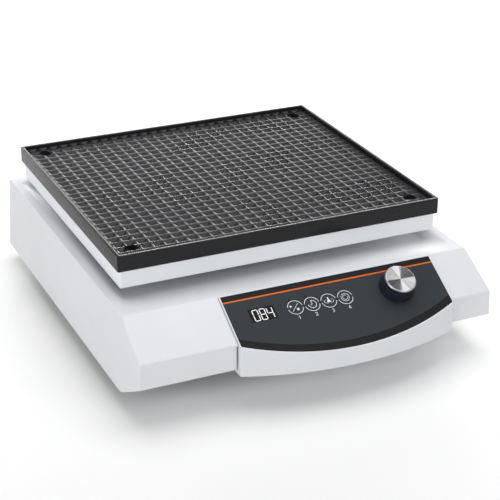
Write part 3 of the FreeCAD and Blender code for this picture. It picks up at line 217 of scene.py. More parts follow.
def grained(name, colour, roughness, grain, depth, metallic=0.0, specular=0.5, tone=0.03):
    """Painted or moulded surface: fine grain in relief, and a faint change of tone and gloss."""
    mat, tree, shader = material(name, colour, roughness, metallic, specular)
    fine = noise(tree, grain, FINE_DETAIL)
    broad = noise(tree, TONE_CELLS, TONE_DETAIL)
    tint = ramp(tree, broad, scaled(colour, 1 - tone), scaled(colour, 1 + tone))
    tree.links.new(tint, shader.inputs["Base Color"])
    gloss = ramp(tree, fine, roughness + GRAIN_GLOSS[0], roughness + GRAIN_GLOSS[1])
    tree.links.new(gloss, shader.inputs["Roughness"])
    bump(tree, shader, fine, GRAIN_RELIEF, depth)
    return mat


BRUSH_CELLS = 900.0
BRUSH_TONE = (0.86, 1.06)
BRUSH_GLOSS = (-0.07, 0.09)
BRUSH_RELIEF = 0.15
BRUSH_DEPTH = 0.02 * MM


def brushed(name, colour, roughness, stretch):
    """Metal with fine lines along the axis whose stretch is small."""
    mat, tree, shader = material(name, colour, roughness, 1.0)
    lines = noise(tree, BRUSH_CELLS, stretch=stretch)
    tint = ramp(tree, lines, scaled(colour, BRUSH_TONE[0]), scaled(colour, BRUSH_TONE[1]))
    tree.links.new(tint, shader.inputs["Base Color"])
    gloss = ramp(tree, lines, roughness + BRUSH_GLOSS[0], roughness + BRUSH_GLOSS[1])
    tree.links.new(gloss, shader.inputs["Roughness"])
    bump(tree, shader, lines, BRUSH_RELIEF, BRUSH_DEPTH)
    return mat


HOUSING_WHITE = (0.72, 0.733, 0.755)
CONSOLE_WHITE = (0.70, 0.718, 0.745)
TRAY_WHITE = (0.86, 0.885, 0.91)
GRAPHITE = (0.030, 0.036, 0.041)
BAND_BLACK = (0.008, 0.008, 0.009)
ORANGE = (0.74, 0.150, 0.003)
MAT_BLACK = (0.0105, 0.011, 0.013)
PRINT_WHITE = (0.80, 0.81, 0.82)
ALONG_X = (0.02, 1.0, 1.0)
ALONG_Y = (1.0, 0.02, 1.0)
ALONG_Z = (1.0, 1.0, 0.02)


def simple_materials():
    """One material for each of the record's slots that needs nothing special."""
    return {
        "housing_paint": grained("powder_coat", HOUSING_WHITE, 0.46, 1500.0, 0.00006),
        "console_paint": grained("console_plastic", CONSOLE_WHITE, 0.42, 1800.0, 0.00004),
        "tray_paint": grained("tray_coat", TRAY_WHITE, 0.36, 1600.0, 0.00003, tone=0.015),
        "mat_rubber": grained("mat_rubber_plain", MAT_BLACK, 0.55, 2200.0, 0.00003, tone=0.2),
        "foot_rubber": grained("foot_rubber", (0.022, 0.022, 0.022), 0.62, 1800.0, 0.00004, tone=0.2),
        "window_tint": grained("window_tint", (0.009, 0.0075, 0.007), 0.30, 300.0, 0.000002,
                               specular=0.08, tone=0.05),
        "led_lens": grained("lamp_lens", (0.022, 0.014, 0.009), 0.4, 900.0, 0.00001,
                            specular=0.1, tone=0.1),
        "knob_plastic": grained("knob_plastic", (0.012, 0.014, 0.023), 0.36, 2000.0, 0.00002, tone=0.1),
        "plate_steel": brushed("zinc_sheet", (0.62, 0.63, 0.64), 0.38, ALONG_X),
        "screw_steel": brushed("zinc_screws", (0.60, 0.60, 0.58), 0.34, ALONG_Z),
        "machined_aluminium": brushed("machined_aluminium", (0.74, 0.74, 0.75), 0.30, ALONG_Y),
        "cast_aluminium": grained("cast_aluminium", (0.60, 0.60, 0.61), 0.52, 900.0, 0.0001, metallic=1.0),
        "shaft_steel": brushed("ground_steel", (0.66, 0.66, 0.67), 0.22, ALONG_Z),
        "bearing_steel": brushed("bearing_steel", (0.70, 0.70, 0.70), 0.16, ALONG_Z),
        "weight_iron": grained("blackened_iron", (0.11, 0.11, 0.115), 0.5, 700.0, 0.00012,
                               metallic=0.8, tone=0.15),
        "bush_steel": brushed("bush_steel", (0.66, 0.66, 0.66), 0.30, ALONG_Z),
        "belt_rubber": grained("belt_rubber", (0.024, 0.024, 0.025), 0.66, 1200.0, 0.00005, tone=0.2),
        "motor_black": grained("motor_coat", (0.035, 0.035, 0.038), 0.42, 1300.0, 0.00005, tone=0.1),
        "board_laminate": grained("board_laminate", (0.020, 0.130, 0.055), 0.38, 600.0, 0.00002, tone=0.15),
        "component_black": grained("component_black", (0.030, 0.030, 0.031), 0.48, 1200.0, 0.00003, tone=0.1),
        "socket_black": grained("socket_black", (0.022, 0.022, 0.023), 0.42, 1500.0, 0.00003, tone=0.1),
        "rocker_black": grained("rocker_black", (0.018, 0.018, 0.019), 0.24, 1500.0, 0.00001, tone=0.1),
        "blade_nickel": brushed("blade_nickel", (0.68, 0.66, 0.60), 0.28, ALONG_Y),
    }


# ------------------------------------------------------------------ the panel's own axes
PANEL_RIGHT = Vector((1, 0, 0))
PANEL_OUT = Vector(JOINTS["knob_turn"]["axis"]).normalized()
PANEL_UP = PANEL_OUT.cross(PANEL_RIGHT)
KNOB_CENTRE = Vector(JOINTS["knob_turn"]["pos_m"])


def panel_matrix(origin):
    """Panel axes at a point: X to the right, Y up the slope, Z out of it."""
    turn = Matrix((PANEL_RIGHT, PANEL_UP, PANEL_OUT)).transposed().to_4x4()
    return Matrix.Translation(origin) @ turn


def panel_point(x, up=0.0):
    """A point on the panel's face, in metres: x across, and up the slope from the knob's centre."""
    return Vector((x, KNOB_CENTRE.y, KNOB_CENTRE.z)) + PANEL_UP * up


def mesh_object(name, verts, faces, mat, smooth=False):
    mesh = bpy.data.meshes.new(name)
    mesh.from_pydata([tuple(v) for v in verts], [], faces)
    mesh.materials.append(mat)
    if smooth:
        mesh.shade_smooth()
    obj = bpy.data.objects.new(name, mesh)
    bpy.context.scene.collection.objects.link(obj)
    return obj


# ------------------------------------------------------------------ printed marks, as thin raised ink
INK = 0.03 * MM
ARC_STEP = 6.0               # degrees
ARC_FEWEST = 6               # steps in a short arc


class Ink:
    """Collects flat outlines in panel axes and turns them into one thin raised mesh."""

    def __init__(self):
        self.verts = []
        self.faces = []

    def outline(self, points):
        """A convex outline, anticlockwise."""
        base = len(self.verts)
        count = len(points)
        self.verts += [(x, y, 0.0) for x, y in points] + [(x, y, INK) for x, y in points]
        self.faces.append([base + count + i for i in range(count)])
        self.faces.append([base + i for i in reversed(range(count))])
        for i in range(count):
            j = (i + 1) % count
            self.faces.append([base + i, base + j, base + count + j, base + count + i])

    def stroke(self, start, end, width):
        """A straight bar with square ends."""
        a, b = Vector(start), Vector(end)
        along = (b - a).normalized()
        side = Vector((-along.y, along.x)) * width / 2
        self.outline([tuple(p) for p in (a - side, b - side, b + side, a + side)])

    def arc(self, centre, radius, width, start, end, squash=1.0):
        """A band along an arc, angles in degrees, as one strip."""
        steps = max(ARC_FEWEST, int(abs(end - start) / ARC_STEP))
        base = len(self.verts)
        for i in range(steps + 1):
            a = math.radians(start + (end - start) * i / steps)
            for r in (radius - width / 2, radius + width / 2):
                x, y = centre[0] + r * math.cos(a), centre[1] + r * math.sin(a) * squash
                self.verts += [(x, y, 0.0), (x, y, INK)]
        for i in range(steps):
            k = base + 4 * i
            inner0, inner1, outer0, outer1 = k, k + 1, k + 2, k + 3
            self.faces += [[inner1, outer1, outer1 + 4, inner1 + 4],
                           [inner0, inner0 + 4, outer0 + 4, outer0],
                           [inner0, inner1, inner1 + 4, inner0 + 4],
                           [outer0, outer0 + 4, outer1 + 4, outer1]]
        last = base + 4 * steps
        self.faces += [[base, base + 2, base + 3, base + 1], [last, last + 1, last + 3, last + 2]]

    def place(self, name, origin, body, mat, slot):
        """Lay the ink on the panel."""
        obj = mesh_object(name, self.verts, self.faces, mat)
        obj.matrix_world = panel_matrix(origin)
        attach(obj, body)


DISPLAY_TEXT = "084"
FIGURE_PITCH = 6.3 * MM      # figures in the display
FIGURE_WIDE = 4.4 * MM
FIGURE_HIGH = 10.3 * MM
FIGURE_LINE = 0.66 * MM
FIGURE_SHIFT = 0.5 * MM      # of all the figures, to the right of the window's middle
SEGMENTS = {"0": "abcdef", "4": "fgbc", "8": "abcdefg"}
SEGMENT_END = 0.55           # gap at an upright segment's ends, in line widths
SEGMENT_SIDE = 0.3           # gap at a level segment's ends, in line widths


def digit(ink, text, left):
    """One upright seven-segment figure."""
    gap = FIGURE_LINE * SEGMENT_END / FIGURE_HIGH
    wide = FIGURE_LINE * SEGMENT_SIDE / FIGURE_WIDE
    spans = {"a": ((wide, 1), (1 - wide, 1)), "g": ((wide, 0.5), (1 - wide, 0.5)),
             "d": ((wide, 0), (1 - wide, 0)),
             "f": ((0, 0.5 + gap), (0, 1 - gap)), "b": ((1, 0.5 + gap), (1, 1 - gap)),
             "e": ((0, gap), (0, 0.5 - gap)), "c": ((1, gap), (1, 0.5 - gap))}
    for name in SEGMENTS[text]:
        start, end = [(left + u * FIGURE_WIDE, (v - 0.5) * FIGURE_HIGH) for u, v in spans[name]]
        ink.stroke(start, end, FIGURE_LINE)


KEY_RING = 6.55 * MM
KEY_LINE = 0.5 * MM
KEY_UP = 1.0 * MM            # the keys' centres lie this far up the slope from the knob's
RING_OPEN = 9.0              # degrees left open at each end of the ring's two arcs


def key_ring(ink):
    """The circle round a key, in two arcs."""
    for start in (0.0, 180.0):
        ink.arc((0, 0), KEY_RING, KEY_LINE, start + RING_OPEN, start + 180.0 - RING_OPEN)


def mm(*points, up=0.0):
    """Points from millimetres to metres, raised by a height in metres."""
    return [(x * MM, y * MM + up) for x, y in points]


# The icons' and numerals' points are in millimetres from the middle of their key.
def start_icon(ink):
    """Start triangle, slanted bar and stop square."""
    line = 0.36 * MM
    ink.outline(mm((-4.4, 0.5), (-2.2, 1.7), (-4.4, 2.9)))
    ink.outline(mm((0.7, -3.0), (2.7, -3.0), (2.7, -1.0), (0.7, -1.0)))
    ink.stroke(*mm((-3.6, -3.5), (3.2, 3.4)), line)


def timer_icon(ink):
    """Ring open at its upper left, and two hands."""
    ring, hand = 0.5 * MM, 0.45 * MM
    ink.arc((0.1 * MM, 0), 3.6 * MM, ring, -180.0, 92.0)
    ink.stroke(*mm((0, 0), (0, 3.6)), hand)
    ink.stroke(*mm((0.1, 0.15), (-1.6, -0.7)), hand)


def flask_icon(ink):
    """Conical flask on an orbit."""
    line, flatness = 0.4 * MM, 0.5
    ink.outline(mm((-2.0, -1.5), (1.9, -1.5), (0.55, 1.4), (-0.55, 1.4)))
    ink.outline(mm((-0.55, 1.4), (0.55, 1.4), (0.55, 3.4), (-0.55, 3.4)))
    for start, end in ((-236.0, -104.0), (-76.0, 56.0)):
        ink.arc((0.1 * MM, -0.4 * MM), 4.2 * MM, line, start, end, flatness)


def swirl_icon(ink):
    """A ring with two arcs that chase one another round it."""
    line = 0.38 * MM
    ink.arc((0, 0), 2.2 * MM, line, 50.0, 370.0)
    for turn, shift in ((20.0, -0.6 * MM), (200.0, 0.6 * MM)):
        ink.arc((0, 0), 3.7 * MM, line, turn, turn + 115.0)
        ink.arc((shift, 0), 3.0 * MM, line, turn + 120.0, turn + 180.0)


ICONS = (start_icon, timer_icon, flask_icon, swirl_icon)
NUMERAL_UP = -9.9 * MM       # the plain figures below the keys
NUMERAL_LINE = 0.42 * MM


def numeral(ink, text, up):
    """One small plain figure, 1 to 4, from strokes and arcs."""
    strokes = {"1": (((0.1, -1.5), (0.1, 1.5)), ((-0.6, 0.9), (0.2, 1.4))),
               "2": (((0.75, 0.2), (-0.9, -1.3)), ((-1.0, -1.35), (1.0, -1.35))),
               "4": (((0.4, -1.5), (0.4, 1.5)), ((0.4, 1.4), (-1.0, -0.6)), ((-1.1, -0.65), (1.1, -0.65)))}
    arcs = {"2": (((0, 0.65), 0.85, -35.0, 165.0),),
            "3": (((0, 0.72), 0.75, -85.0, 150.0), ((0, -0.72), 0.8, -150.0, 85.0))}
    for centre, radius, start, end in arcs.get(text, ()):
        ink.arc(mm(centre, up=up)[0], radius * MM, NUMERAL_LINE, start, end)
    for ends in strokes.get(text, ()):
        ink.stroke(*mm(*ends, up=up), NUMERAL_LINE)


def body_with(node):
    """The name of the body that a CAD node belongs to."""
    bodies = frame["record"]["behaviour"]["bodies"]
    return next(body for body, nodes in bodies.items() if node in nodes)


def panel_middle(node):
    """The point on the line through the keys' centres at the middle of a node's width."""
    low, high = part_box(node)
    return panel_point((low[0] + high[0]) / 2, KEY_UP)


def print_keys(mat):
    """Ring and icon on each key, and its number on the film below it."""
    for number, icon in enumerate(ICONS, 1):
        key = "key_%d" % number
        centre = panel_middle(key)
        mark = Ink()
        key_ring(mark)
        icon(mark)
        mark.place("key_mark_%d" % number, centre, body_with(key), mat, "key_film")
        figure = Ink()
        numeral(figure, str(number), NUMERAL_UP)
        figure.place("key_figure_%d" % number, centre, "base", mat, "panel_film")


def print_display(mat):
    """The three lit figures in the window."""
    shown = Ink()
    for i, text in enumerate(DISPLAY_TEXT):
        digit(shown, text, (i - 1) * FIGURE_PITCH - FIGURE_WIDE / 2 + FIGURE_SHIFT)
    shown.place("display_figures", panel_middle("display_window"), "base", mat, "window_tint")


# ------------------------------------------------------------------ panel film with its bands
CONSOLE_MIDDLE = 22.25 * MM  # X of the bow's centre
CONSOLE_BOW = 261.0 * MM     # radius of the console's bowed front, in plan
LOWER_BAND = 6.9 * MM        # width of the dark band along the bowed edge, in plan
STRIPE_UP = 18.0 * MM        # orange stripe, up the slope from the knob's centre
STRIPE_HALF = 0.65 * MM
FILM_CELLS = 2500.0          # cells per metre of the film's grain
FILM_TONE = (0.94, 1.06)
FILM_RELIEF = 0.2
FILM_DEPTH = 0.02 * MM


def maths(tree, operation, *values):
    """The result of one operation on numbers or on other nodes' results."""
    node = add(tree, "ShaderNodeMath", operation=operation)
    for i, value in enumerate(values):
        if isinstance(value, (int, float)):
            node.inputs[i].default_value = value
        else:
            tree.links.new(value, node.inputs[i])
    return node.outputs[0]


def hypotenuse(tree, a, b):
    squares = [maths(tree, "MULTIPLY", value, value) for value in (a, b)]
    return maths(tree, "SQRT", maths(tree, "ADD", *squares))


def blend_colour(tree, factor, first, second):
    """The first colour where the factor is 0, and the second where it is 1."""
    node = add(tree, "ShaderNodeMix", data_type="RGBA")
    tree.links.new(factor, node.inputs[0])
    for socket, value in ((node.inputs[6], first), (node.inputs[7], second)):
        if isinstance(value, tuple):
            socket.default_value = (*value, 1.0)
        else:
            tree.links.new(value, socket)
    return node.outputs[2]


def film_material():
    """Graphite film with a black band along its bowed edge, another along its top, and an orange stripe."""
    mat, tree, shader = material("panel_film", GRAPHITE, 0.58, 0.0, 0.18)
    x, y, z = object_axes(tree)
    up_y = maths(tree, "MULTIPLY", maths(tree, "SUBTRACT", y, KNOB_CENTRE.y), PANEL_UP.y)
    up_z = maths(tree, "MULTIPLY", maths(tree, "SUBTRACT", z, KNOB_CENTRE.z), PANEL_UP.z)
    up = maths(tree, "ADD", up_y, up_z)
    dx = maths(tree, "SUBTRACT", x, CONSOLE_MIDDLE)
    dy = maths(tree, "SUBTRACT", y, CAD_BOX[0].y + CONSOLE_BOW)
    reach = hypotenuse(tree, dx, dy)
    grain = noise(tree, FILM_CELLS, FINE_DETAIL)
    body = ramp(tree, grain, scaled(GRAPHITE, FILM_TONE[0]), scaled(GRAPHITE, FILM_TONE[1]))
    low_band = maths(tree, "GREATER_THAN", reach, CONSOLE_BOW - LOWER_BAND)
    top_band = maths(tree, "GREATER_THAN", up, STRIPE_UP)
    colour = blend_colour(tree, maths(tree, "MAXIMUM", low_band, top_band), body, BAND_BLACK)
    offset = maths(tree, "ABSOLUTE", maths(tree, "SUBTRACT", up, STRIPE_UP))
    stripe = maths(tree, "LESS_THAN", offset, STRIPE_HALF)
    colour = blend_colour(tree, stripe, colour, ORANGE)
    tree.links.new(colour, shader.inputs["Base Color"])
    bump(tree, shader, grain, FILM_RELIEF, FILM_DEPTH)
    return mat


# ------------------------------------------------------------------ knob cap, turned metal
CAP_METAL = (0.62, 0.62, 0.64)
CAP_RADIUS = 13.3 * MM
CAP_CHAMFER = 0.75 * MM
CAP_TOP = 13.0 * MM          # above the panel's face
CAP_THICK = 1.5 * MM
CAP_FOOT = 0.2 * MM          # bevel of the lower edge
CAP_STEP = 0.02 * MM         # drop just inside the chamfer
CAP_DISH = 0.35 * MM         # drop of the face's middle
CAP_CURVE = ((0.0, 1.0), (0.16, 0.8), (1.0, 0.05), (1.25, 0.0))  # chamfer: inward and down, in its own sizes
CAP_HIGHLIGHT_BAND = 0.15 * MM       # painted highlight: a bright line just inside the chamfer
CAP_GROOVE = 0.12 * MM       # from one turned ring to the next
CAP_RELIEF = 0.05
CAP_DEPTH = 0.01 * MM
CAP_SHARP = math.radians(20)
LATHE_STEPS = 96
# Painted highlights and shade of the spun face: its tone over half a turn, anticlockwise from the panel's right,
# in degrees.
CAP_PAINTED_SHEEN = ((1.0, 0.09), (30.0, 0.09), (34.0, 0.17), (38.0, 0.10), (60.0, 0.15), (69.0, 0.36),
           (78.0, 0.72), (100.0, 0.66), (106.0, 0.62), (108.5, 0.24), (111.0, 0.44), (130.0, 0.48),
           (147.0, 0.45), (151.0, 0.60), (156.0, 0.50), (172.0, 0.50), (176.0, 0.42), (179.0, 0.10))


def cap_material():
    """Spun aluminium: fine rings in relief, and a painted fan of highlights and shade round the face."""
    mat, tree, shader = material("spun_aluminium", CAP_METAL, 0.30, 1.0)
    x, y, _ = object_axes(tree)
    radius = hypotenuse(tree, x, y)
    rings = maths(tree, "SINE", maths(tree, "MULTIPLY", radius, 2 * math.pi / CAP_GROOVE))
    bump(tree, shader, rings, CAP_RELIEF, CAP_DEPTH)
    angle = maths(tree, "DIVIDE", maths(tree, "ARCTAN2", y, x), math.pi)
    turn = maths(tree, "FRACT", maths(tree, "ADD", angle, 1.0))
    # painted highlights and shade: light and dark sectors by angle round the cap's axis
    painted_sheen = add(tree, "ShaderNodeValToRGB")
    painted_sheen.color_ramp.interpolation = "LINEAR"
    tree.links.new(turn, painted_sheen.inputs["Fac"])
    stops = painted_sheen.color_ramp.elements
    for degrees, tone in CAP_PAINTED_SHEEN:
        stop = stops.new(degrees / 180.0)
        stop.color = (*scaled(CAP_METAL, tone), 1.0)
    stops.remove(stops[0])
    stops.remove(stops[-1])
    # painted highlight: the chamfer and a thin ring inside it keep the full metal colour, brighter than the
    # painted fan
    edge = maths(tree, "GREATER_THAN", radius, CAP_RADIUS - CAP_CHAMFER - CAP_HIGHLIGHT_BAND)
    colour = blend_colour(tree, edge, painted_sheen.outputs["Color"], CAP_METAL)
    tree.links.new(colour, shader.inputs["Base Color"])
    return mat


def lathe(name, profile, mat):
    """Closed turned piece about its own Z, from (radius, height) points that start and end on the axis."""
    verts, faces = [], []
    count = len(profile)
    for i in range(LATHE_STEPS):
        a = 2 * math.pi * i / LATHE_STEPS
        verts += [(r * math.cos(a), r * math.sin(a), h) for r, h in profile]
    for i in range(LATHE_STEPS):
        j = (i + 1) % LATHE_STEPS
        for k in range(count - 1):
            faces.append([i * count + k, j * count + k, j * count + k + 1, i * count + k + 1])
    obj = mesh_object(name, verts, faces, mat, True)
    mesh = bmesh.new()
    mesh.from_mesh(obj.data)
    bmesh.ops.remove_doubles(mesh, verts=mesh.verts, dist=HAIR)
    bmesh.ops.recalc_face_normals(mesh, faces=mesh.faces)
    mesh.to_mesh(obj.data)
    mesh.free()
    return obj


def knob_cap(mat):
    """The slightly dished disc on the knob, with a bright turned chamfer."""
    low = CAP_TOP - CAP_THICK
    profile = [(0, low), (CAP_RADIUS - CAP_FOOT, low), (CAP_RADIUS, low + CAP_FOOT)]
    for inward, down in CAP_CURVE:
        profile.append((CAP_RADIUS - inward * CAP_CHAMFER, CAP_TOP - down * CAP_CHAMFER))
    profile += [(CAP_RADIUS - 1.5 * CAP_CHAMFER, CAP_TOP - CAP_STEP), (0, CAP_TOP - CAP_DISH)]
    obj = lathe("knob_cap_spun", profile, mat)
    obj.data.set_sharp_from_angle(angle=CAP_SHARP)
    obj.matrix_world = panel_matrix(KNOB_CENTRE)
    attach(obj, "knob")
    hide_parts("knob_cap")


# ------------------------------------------------------------------ the waffle mat
MAT_PITCH = 10.12 * MM
MAT_POCKET = 2.8 * MM        # depth of a pocket
SOFT_X = 0.35 * MM           # roundness of the tops of the ridges that run along Y
SOFT_Y = 4.0 * MM            # and of those that run along X
MAT_LEVELS = (0.0, 0.006, 0.022, 0.06, 0.13, 0.25, 0.45, 0.7)   # shares of the depth where the walls bend
MAT_RIM_DROP = 2.8 * MM      # ridges below the rim's top
MAT_RIM = 3.0 * MM           # width of the rim
MAT_SKIRT = 2.35 * MM        # thickness of the skirt round the tray
MAT_CORNER = 1.6 * MM        # radius of the mat's corners
MAT_EDGE = 0.45 * MM         # softness of the rim's and the skirt's edges
MAT_LEAST_CORNER = 0.3 * MM  # radius of the rim's innermost corners
MAT_SEAT = 0.02 * MM         # the mat stands this far clear of the tray
MAT_LIFT = 0.3 * MM          # the pocket slab's underside stands this far above the ring's
MAT_SHARP = math.radians(28)
MAT_HOLE = 6.0 * MM          # radius of the corner holes
COLLAR_WALL = 0.9 * MM
COLLAR_DROP = 0.9 * MM       # collars' tops below the ridges
COLLAR_EDGE = 0.3 * MM
COLLAR_INSET = 0.6 * MM      # how far the collars reach into the holes before those are cut
DRILL_PAST = 5.0 * MM        # how far the cut for a hole runs past the mat
ROUND_STEPS = 48
CORNER_STEPS = 6
POCKET_MERGE = 1e-6          # metres; corners of neighbouring pockets closer than this are one
RUBBER_CELLS = 2600.0        # cells per metre of the rubber's grain
RUBBER_BROAD = 22.0          # and of its slow changes of tone and gloss
RUBBER_DETAIL = 5.0
RUBBER_TONE = (0.8, 1.25)
RUBBER_GLOSS = (0.25, 0.32)
RUBBER_RELIEF = 0.25
RUBBER_DEPTH = 0.01 * MM


def rubber_material():
    """Satin black rubber, a little uneven in tone and gloss."""
    mat, tree, shader = material("mat_rubber", MAT_BLACK, 0.28, 0.0, 0.25)
    fine = noise(tree, RUBBER_CELLS, FINE_DETAIL)
    broad = noise(tree, RUBBER_BROAD, RUBBER_DETAIL)
    tint = ramp(tree, broad, scaled(MAT_BLACK, RUBBER_TONE[0]), scaled(MAT_BLACK, RUBBER_TONE[1]))
    tree.links.new(tint, shader.inputs["Base Color"])
    gloss = ramp(tree, broad, *RUBBER_GLOSS)
    tree.links.new(gloss, shader.inputs["Roughness"])
    bump(tree, shader, fine, RUBBER_RELIEF, RUBBER_DEPTH)
    return mat


def grid_lines(half):
    """Pocket borders across the mat, from just past one edge to just past the other."""
    count = int(half / MAT_PITCH) + 1
    return [k * MAT_PITCH for k in range(-count, count + 1)]


def ridge_inset(share, soft):
    """How far from the middle of its ridge a pocket's wall has dropped by a share of its depth."""
    full = math.hypot(MAT_PITCH / 2, soft) - soft
    return math.sqrt((share * full + soft) ** 2 - soft ** 2)


def waffle_slab(half_x, half_y, top, bottom):
    """Closed slab whose top is a grid of square pyramid pockets between soft ridges."""
    mesh = bmesh.new()
    insets = [(share, ridge_inset(share, SOFT_X), ridge_inset(share, SOFT_Y)) for share in MAT_LEVELS]
    for x in grid_lines(half_x)[:-1]:
        for y in grid_lines(half_y)[:-1]:
            rings = []
            for share, dx, dy in insets:
                x0, x1, y0, y1 = x + dx, x + MAT_PITCH - dx, y + dy, y + MAT_PITCH - dy
                corners = ((x0, y0), (x1, y0), (x1, y1), (x0, y1))
                rings.append([mesh.verts.new((*c, top - share * MAT_POCKET)) for c in corners])
            low = mesh.verts.new((x + MAT_PITCH / 2, y + MAT_PITCH / 2, top - MAT_POCKET))
            for i in range(4):
                j = (i + 1) % 4
                for a, b in zip(rings, rings[1:]):
                    mesh.faces.new((a[i], a[j], b[j], b[i]))
                mesh.faces.new((rings[-1][i], rings[-1][j], low))
    bmesh.ops.remove_doubles(mesh, verts=mesh.verts, dist=POCKET_MERGE)
    for axis, half in ((Vector((1, 0, 0)), half_x), (Vector((0, 1, 0)), half_y)):
        for side in (-1, 1):
            everything = mesh.verts[:] + mesh.edges[:] + mesh.faces[:]
            bmesh.ops.bisect_plane(mesh, geom=everything, dist=HAIR, plane_co=axis * half * side,
                                   plane_no=axis * side, clear_outer=True)
    border = [e for e in mesh.edges if e.is_boundary]
    for v in bmesh.ops.extrude_edge_only(mesh, edges=border)["geom"]:
        if isinstance(v, bmesh.types.BMVert):
            v.co.z = bottom
    bmesh.ops.contextual_create(mesh, geom=[e for e in mesh.edges if e.is_boundary])
    bmesh.ops.recalc_face_normals(mesh, faces=mesh.faces)
    return mesh


def round_rectangle(half_x, half_y, radius):
    """Points of a rectangle with round corners, anticlockwise."""
    points = []
    for side_x, side_y, first in ((1, 1, 0), (-1, 1, 90), (-1, -1, 180), (1, -1, 270)):
        cx, cy = side_x * (half_x - radius), side_y * (half_y - radius)
        for i in range(CORNER_STEPS + 1):
            a = math.radians(first + 90.0 * i / CORNER_STEPS)
            points.append((cx + radius * math.cos(a), cy + radius * math.sin(a)))
    return points


def rim_ring(half_x, half_y, top, bottom, under):
    """Closed ring: outer skirt, rounded rim and inner wall, swept round the mat."""
    soft = MAT_EDGE
    profile = [(0.0, bottom + soft), (0.0, top - soft)]
    for a in (math.pi / 6, math.pi / 3, math.pi / 2):
        profile.append((soft * (1 - math.cos(a)), top - soft * (1 - math.sin(a))))
    profile += [(MAT_RIM - soft, top), (MAT_RIM - soft * 0.3, top - soft * 0.3), (MAT_RIM, top - soft)]
    profile += [(MAT_RIM, under), (MAT_SKIRT, under), (MAT_SKIRT, bottom), (soft, bottom)]
    mesh = bmesh.new()
    loops = []
    for inset, z in profile:
        radius = max(MAT_CORNER - inset, MAT_LEAST_CORNER)
        outline = round_rectangle(half_x - inset, half_y - inset, radius)
        loops.append([mesh.verts.new((x, y, z)) for x, y in outline])
    count = len(loops[0])
    for k in range(len(loops)):
        first, second = loops[k], loops[(k + 1) % len(loops)]
        for i in range(count):
            j = (i + 1) % count
            mesh.faces.new((first[i], first[j], second[j], second[i]))
    bmesh.ops.recalc_face_normals(mesh, faces=mesh.faces)
    return mesh


def temporary(name, mesh):
    """An object made of a bmesh, which is freed."""
    data = bpy.data.meshes.new(name)
    mesh.to_mesh(data)
    mesh.free()
    obj = bpy.data.objects.new(name, data)
    bpy.context.scene.collection.objects.link(obj)
    return obj


def boolean(target, tool, operation):
    """Apply a boolean and drop the tool."""
    modifier = target.modifiers.new("cut", "BOOLEAN")
    modifier.object = tool
    modifier.operation = operation
    modifier.solver = "EXACT"
    graph = bpy.context.evaluated_depsgraph_get()
    result = bpy.data.meshes.new_from_object(target.evaluated_get(graph))
    target.modifiers.clear()
    old = target.data
    target.data = result
    bpy.data.meshes.remove(old)
    bpy.data.objects.remove(tool, do_unlink=True)


def posts(places, radius, low, high):
    """Upright round bars, to cut the holes with."""
    mesh = bmesh.new()
    for x, y in places:
        middle = Matrix.Translation((x, y, (low + high) / 2))
        bmesh.ops.create_cone(mesh, cap_ends=True, segments=ROUND_STEPS, radius1=radius, radius2=radius,
                              depth=high - low, matrix=middle)
    return mesh


def collars(places, low, high):
    """Soft-edged rims round the holes, closed turned pieces."""
    inner, outer, soft = MAT_HOLE - COLLAR_INSET, MAT_HOLE + COLLAR_WALL, COLLAR_EDGE
    profile = [(inner, low), (outer, low), (outer, high - soft), (outer - 0.3 * soft, high - 0.3 * soft),
               (outer - soft, high), (MAT_HOLE + soft, high), (MAT_HOLE, high - soft), (inner, high - soft)]
    mesh = bmesh.new()
    count = len(profile)
    for x, y in places:
        rows = []
        for i in range(ROUND_STEPS):
            a = 2 * math.pi * i / ROUND_STEPS
            rows.append([mesh.verts.new((x + r * math.cos(a), y + r * math.sin(a), h)) for r, h in profile])
        for first, second in zip(rows, rows[1:] + rows[:1]):
            for k in range(count):
                mesh.faces.new((first[k], second[k], second[(k + 1) % count], first[(k + 1) % count]))
    bmesh.ops.recalc_face_normals(mesh, faces=mesh.faces)
    return mesh


def waffle_mat(mat):
    """The whole mat, made about its own middle and then moved to its place."""
    low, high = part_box("non_slip_mat")
    tray_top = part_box("platform_tray")[1][2]
    centre = Vector(((low[0] + high[0]) / 2, (low[1] + high[1]) / 2, 0))
    half_x, half_y = (high[0] - low[0]) / 2, (high[1] - low[1]) / 2
    top = high[2]
    ridge = top - MAT_RIM_DROP
    under = tray_top + MAT_SEAT
    pockets = waffle_slab(half_x - MAT_RIM / 2, half_y - MAT_RIM / 2, ridge, under + MAT_LIFT)
    slab = temporary("waffle_mat", pockets)
    boolean(slab, temporary("ring", rim_ring(half_x, half_y, top, low[2], under)), "UNION")
    pattern = next(m for m in frame["record"]["mounts"] if m["name"] == "accessory_holes")["dims"]
    across, along = pattern["spacing_x_mm"] * MM / 2, pattern["spacing_y_mm"] * MM / 2
    places = [(sx * across, sy * along) for sx in (-1, 1) for sy in (-1, 1)]
    boolean(slab, temporary("collars", collars(places, under, ridge - COLLAR_DROP)), "UNION")
    drill = posts(places, MAT_HOLE, under - DRILL_PAST, top + DRILL_PAST)
    boolean(slab, temporary("drill", drill), "DIFFERENCE")
    slab.data.materials.clear()
    slab.data.materials.append(mat)
    slab.data.transform(Matrix.Translation(centre))
    slab.data.shade_smooth()
    slab.data.set_sharp_from_angle(angle=MAT_SHARP)
    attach(slab, "platform")
    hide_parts("non_slip_mat", "mat_corner_pads")


# ------------------------------------------------------------------ rear switch marks
MARK_OUT = 5.6 * MM          # marks outward of the rocker's pivot
MARK_UP = 4.0 * MM           # and along its face
MARK_LINE = 0.5 * MM
BAR_HALF = 1.5 * MM
CIRCLE = 1.4 * MM
FULL_CIRCLE = 359.9          # degrees, with the ends just short of one another
ROCKER_BEND = 20.0           # degrees between the rocker's two faces


